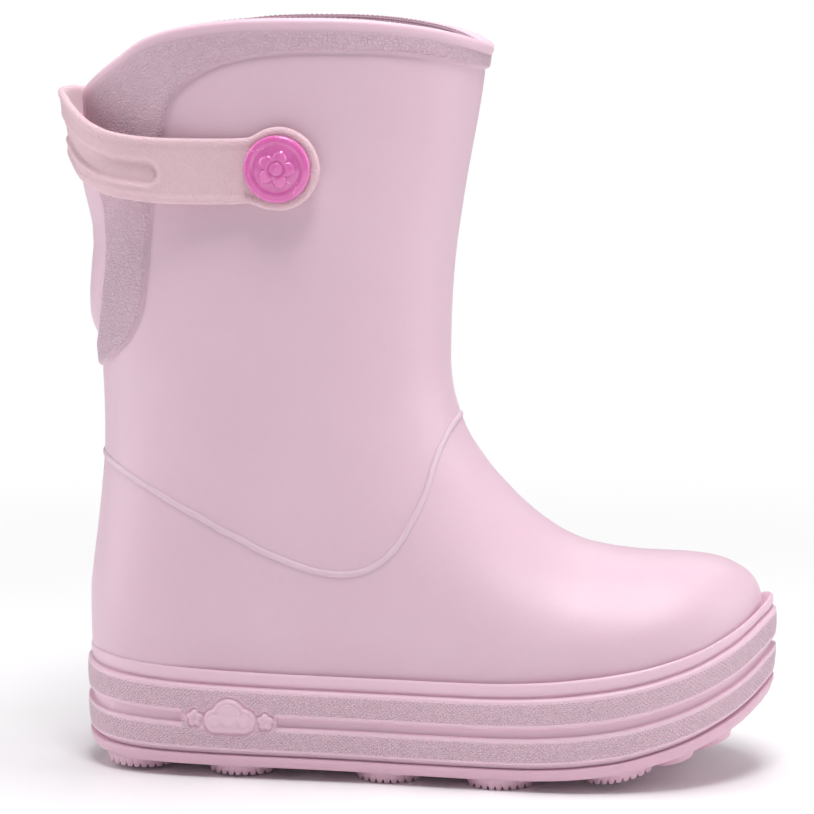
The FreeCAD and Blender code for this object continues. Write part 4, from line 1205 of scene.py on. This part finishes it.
def cap(side):
    b = Build()
    nth = 240
    th = np.arange(nth) * 2 * np.pi / nth
    rs = np.concatenate([np.linspace(0.15, 6.9, 62), np.linspace(7.0, CR, 34)[0:]])
    rs = np.unique(np.concatenate([rs[rs < CR - 0.9], CR - 0.9 + 0.9 * np.sin(np.linspace(0, math.pi / 2, 12))]))
    rows = []
    for r in rs:
        dome = CT - 0.55 * (r / CR) ** 2 * 0.6 - 0.25
        rimb = 0.12 * np.exp(-((r - 7.75) / 0.75) ** 2)
        moat = -0.12 * np.exp(-((r - 6.55) / 0.4) ** 2)
        h = dome + rimb + moat + 0.55 * flower(r, th)
        if r > CR - 0.9:
            k = (r - (CR - 0.9)) / 0.9
            top = CT - 0.55 * ((CR - 0.9) / CR) ** 2 * 0.6 - 0.25 + 0.12 * math.exp(-(((CR - 0.9) - 7.75) / 0.75) ** 2)
            h = np.full(nth, top - 1.25 * (1 - math.sqrt(max(0, 1 - k * k))))
        rows.append(np.column_stack([r * np.cos(th), r * np.sin(th), np.broadcast_to(h, (nth,))]))
    for r, h in ((CR, 0.5), (CR - 0.2, 0.12), (CR - 0.5, 0.0), (6.0, 0.0), (3.15, 0.0), (3.0, -0.2), (3.0, -4.0), (3.0, -(seat - tail) + 0.3), (2.7, -(seat - tail)), (0.15, -(seat - tail))):
        rows.append(np.column_stack([r * np.cos(th), r * np.sin(th), np.full(nth, h)]))
    R = np.stack(rows)
    # local z is outwards: side -1 is the outer side of the foot
    P = np.empty_like(R)
    P[..., 0] = PIV_X + R[..., 0]
    P[..., 1] = side * (seat + R[..., 2])
    P[..., 2] = PIV_Z + R[..., 1]
    base = b.add(P, grain=0)
    b.quads(grid_faces(len(P), nth, base, flip=(side < 0)))
    c0 = b.add([[PIV_X, side * (seat + R[0, 0, 2]), PIV_Z]], grain=0)
    c1 = b.add([[PIV_X, side * tail, PIV_Z]], grain=0)
    b.tris(fan_faces([base + k for k in range(nth)], c0, flip=(side > 0)))
    last = base + (len(P) - 1) * nth
    b.tris(fan_faces([last + k for k in range(nth)], c1, flip=(side < 0)))
    return b


for side, tag in ((-1, "right"), (1, "left")):
    ob = cap(side).make("button_" + tag, M_CAP)
    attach(ob, "rivet_" + tag)
    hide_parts("rivet_cap_" + tag)
    node = frame["nodes"]["rivet_washer_" + tag]
    node.data.materials.clear()
    node.data.materials.append(M_WASHER)

# ------------------------------------------------------------------ floor, light, camera
scene = bpy.context.scene
floor_me = bpy.data.meshes.new("floor")
F = 6.0
floor_me.from_pydata([(-F, -F, 0), (F, -F, 0), (F, F, 0), (-F, F, 0)], [], [(0, 1, 2, 3)])
floor = bpy.data.objects.new("floor", floor_me)
scene.collection.objects.link(floor)
g = Nodes("floor_pale")
g.link(g.ramp(g.noise(3.0, 2.0), [(0.3, (0.93, 0.925, 0.935)), (0.7, (0.95, 0.945, 0.955))]), g.p.inputs["Base Color"])
g.link(g.math("ADD", g.math("MULTIPLY", g.noise(30.0), 0.05), 0.30), g.p.inputs["Roughness"])
g.set(g.p, Specular_IOR_Level=0.25)
far = g.n("ShaderNodeEmission")
far.inputs[0].default_value = (1, 1, 1, 1)
far.inputs[1].default_value = 1.0
length = g.n("ShaderNodeVectorMath", operation="LENGTH")
g.link(g.co, length.inputs[0])
fade = g.n("ShaderNodeMapRange", interpolation_type="SMOOTHSTEP")
g.link(length.outputs["Value"], fade.inputs["Value"])
fade.inputs["From Min"].default_value = 0.20
fade.inputs["From Max"].default_value = 0.60
seen = g.n("ShaderNodeLightPath").outputs["Is Camera Ray"]
mixer = g.n("ShaderNodeMixShader")
g.link(g.math("MULTIPLY", fade.outputs["Result"], seen), mixer.inputs[0])
g.link(g.p.outputs[0], mixer.inputs[1])
g.link(far.outputs[0], mixer.inputs[2])
g.link(mixer.outputs[0], g.out.inputs["Surface"])
floor_me.materials.append(g.m)

world = bpy.data.worlds.new("studio")
scene.world = world
world.use_nodes = True
wt = world.node_tree
bg = wt.nodes["Background"]
bg.inputs[0].default_value = (1.0, 0.985, 1.0, 1)
bg.inputs[1].default_value = 0.23
white = wt.nodes.new("ShaderNodeBackground")
white.inputs[0].default_value = (1, 1, 1, 1)
white.inputs[1].default_value = 1.0
path = wt.nodes.new("ShaderNodeLightPath")
mixw = wt.nodes.new("ShaderNodeMixShader")
wt.links.new(path.outputs["Is Camera Ray"], mixw.inputs[0])
wt.links.new(bg.outputs[0], mixw.inputs[1])
wt.links.new(white.outputs[0], mixw.inputs[2])
wt.links.new(mixw.outputs[0], wt.nodes["World Output"].inputs["Surface"])


def area(name, loc, target, size, power, colour=(1, 1, 1)):
    L = bpy.data.lights.new(name, "AREA")
    L.shape = "RECTANGLE"
    L.size, L.size_y = size
    L.energy = power
    L.color = colour
    o = bpy.data.objects.new(name, L)
    scene.collection.objects.link(o)
    o.location = loc
    d = Vector(target) - Vector(loc)
    o.rotation_euler = d.to_track_quat("-Z", "Y").to_euler()
    return o


area("key", (0.10, -0.42, 1.08), (0.02, 0.0, 0.06), (0.36, 0.30), 5.4)
area("top_softbox", (0.10, 0.04, 1.15), (0.03, 0.0, 0.05), (0.60, 0.50), 6.4)
area("low_fill", (0.02, -0.75, 0.07), (0.02, 0.0, 0.02), (0.80, 0.12), 0.5)
area("toe_softbox", (1.05, 0.02, 0.45), (0.0, 0.0, 0.10), (0.6, 0.9), 4.4)
area("heel_softbox", (-1.05, -0.05, 0.45), (0.0, 0.0, 0.12), (0.6, 0.9), 5.0)
area("back_rim", (0.0, 0.9, 0.9), (0.0, 0.0, 0.12), (0.9, 0.4), 2.5)

cam_data = bpy.data.cameras.new("camera")
cam = bpy.data.objects.new("camera", cam_data)
scene.collection.objects.link(cam)
a, e, dist = math.radians(6.0), math.radians(7.3), 1.010
back = Vector((math.sin(a) * math.cos(e), -math.cos(a) * math.cos(e), math.sin(e)))
target = Vector(((92.4 - OX) / 1000.0, 0.0, 0.1045))
cam.location = target + back * dist
cam.rotation_mode = "QUATERNION"
cam.rotation_quaternion = (-back).to_track_quat("-Z", "Y")
cam_data.sensor_width = 36.0
cam_data.lens = 36.0 * 3464.8 / 814.0
cam_data.clip_start, cam_data.clip_end = 0.01, 50.0
scene.camera = cam
scene.view_settings.view_transform = "Standard"
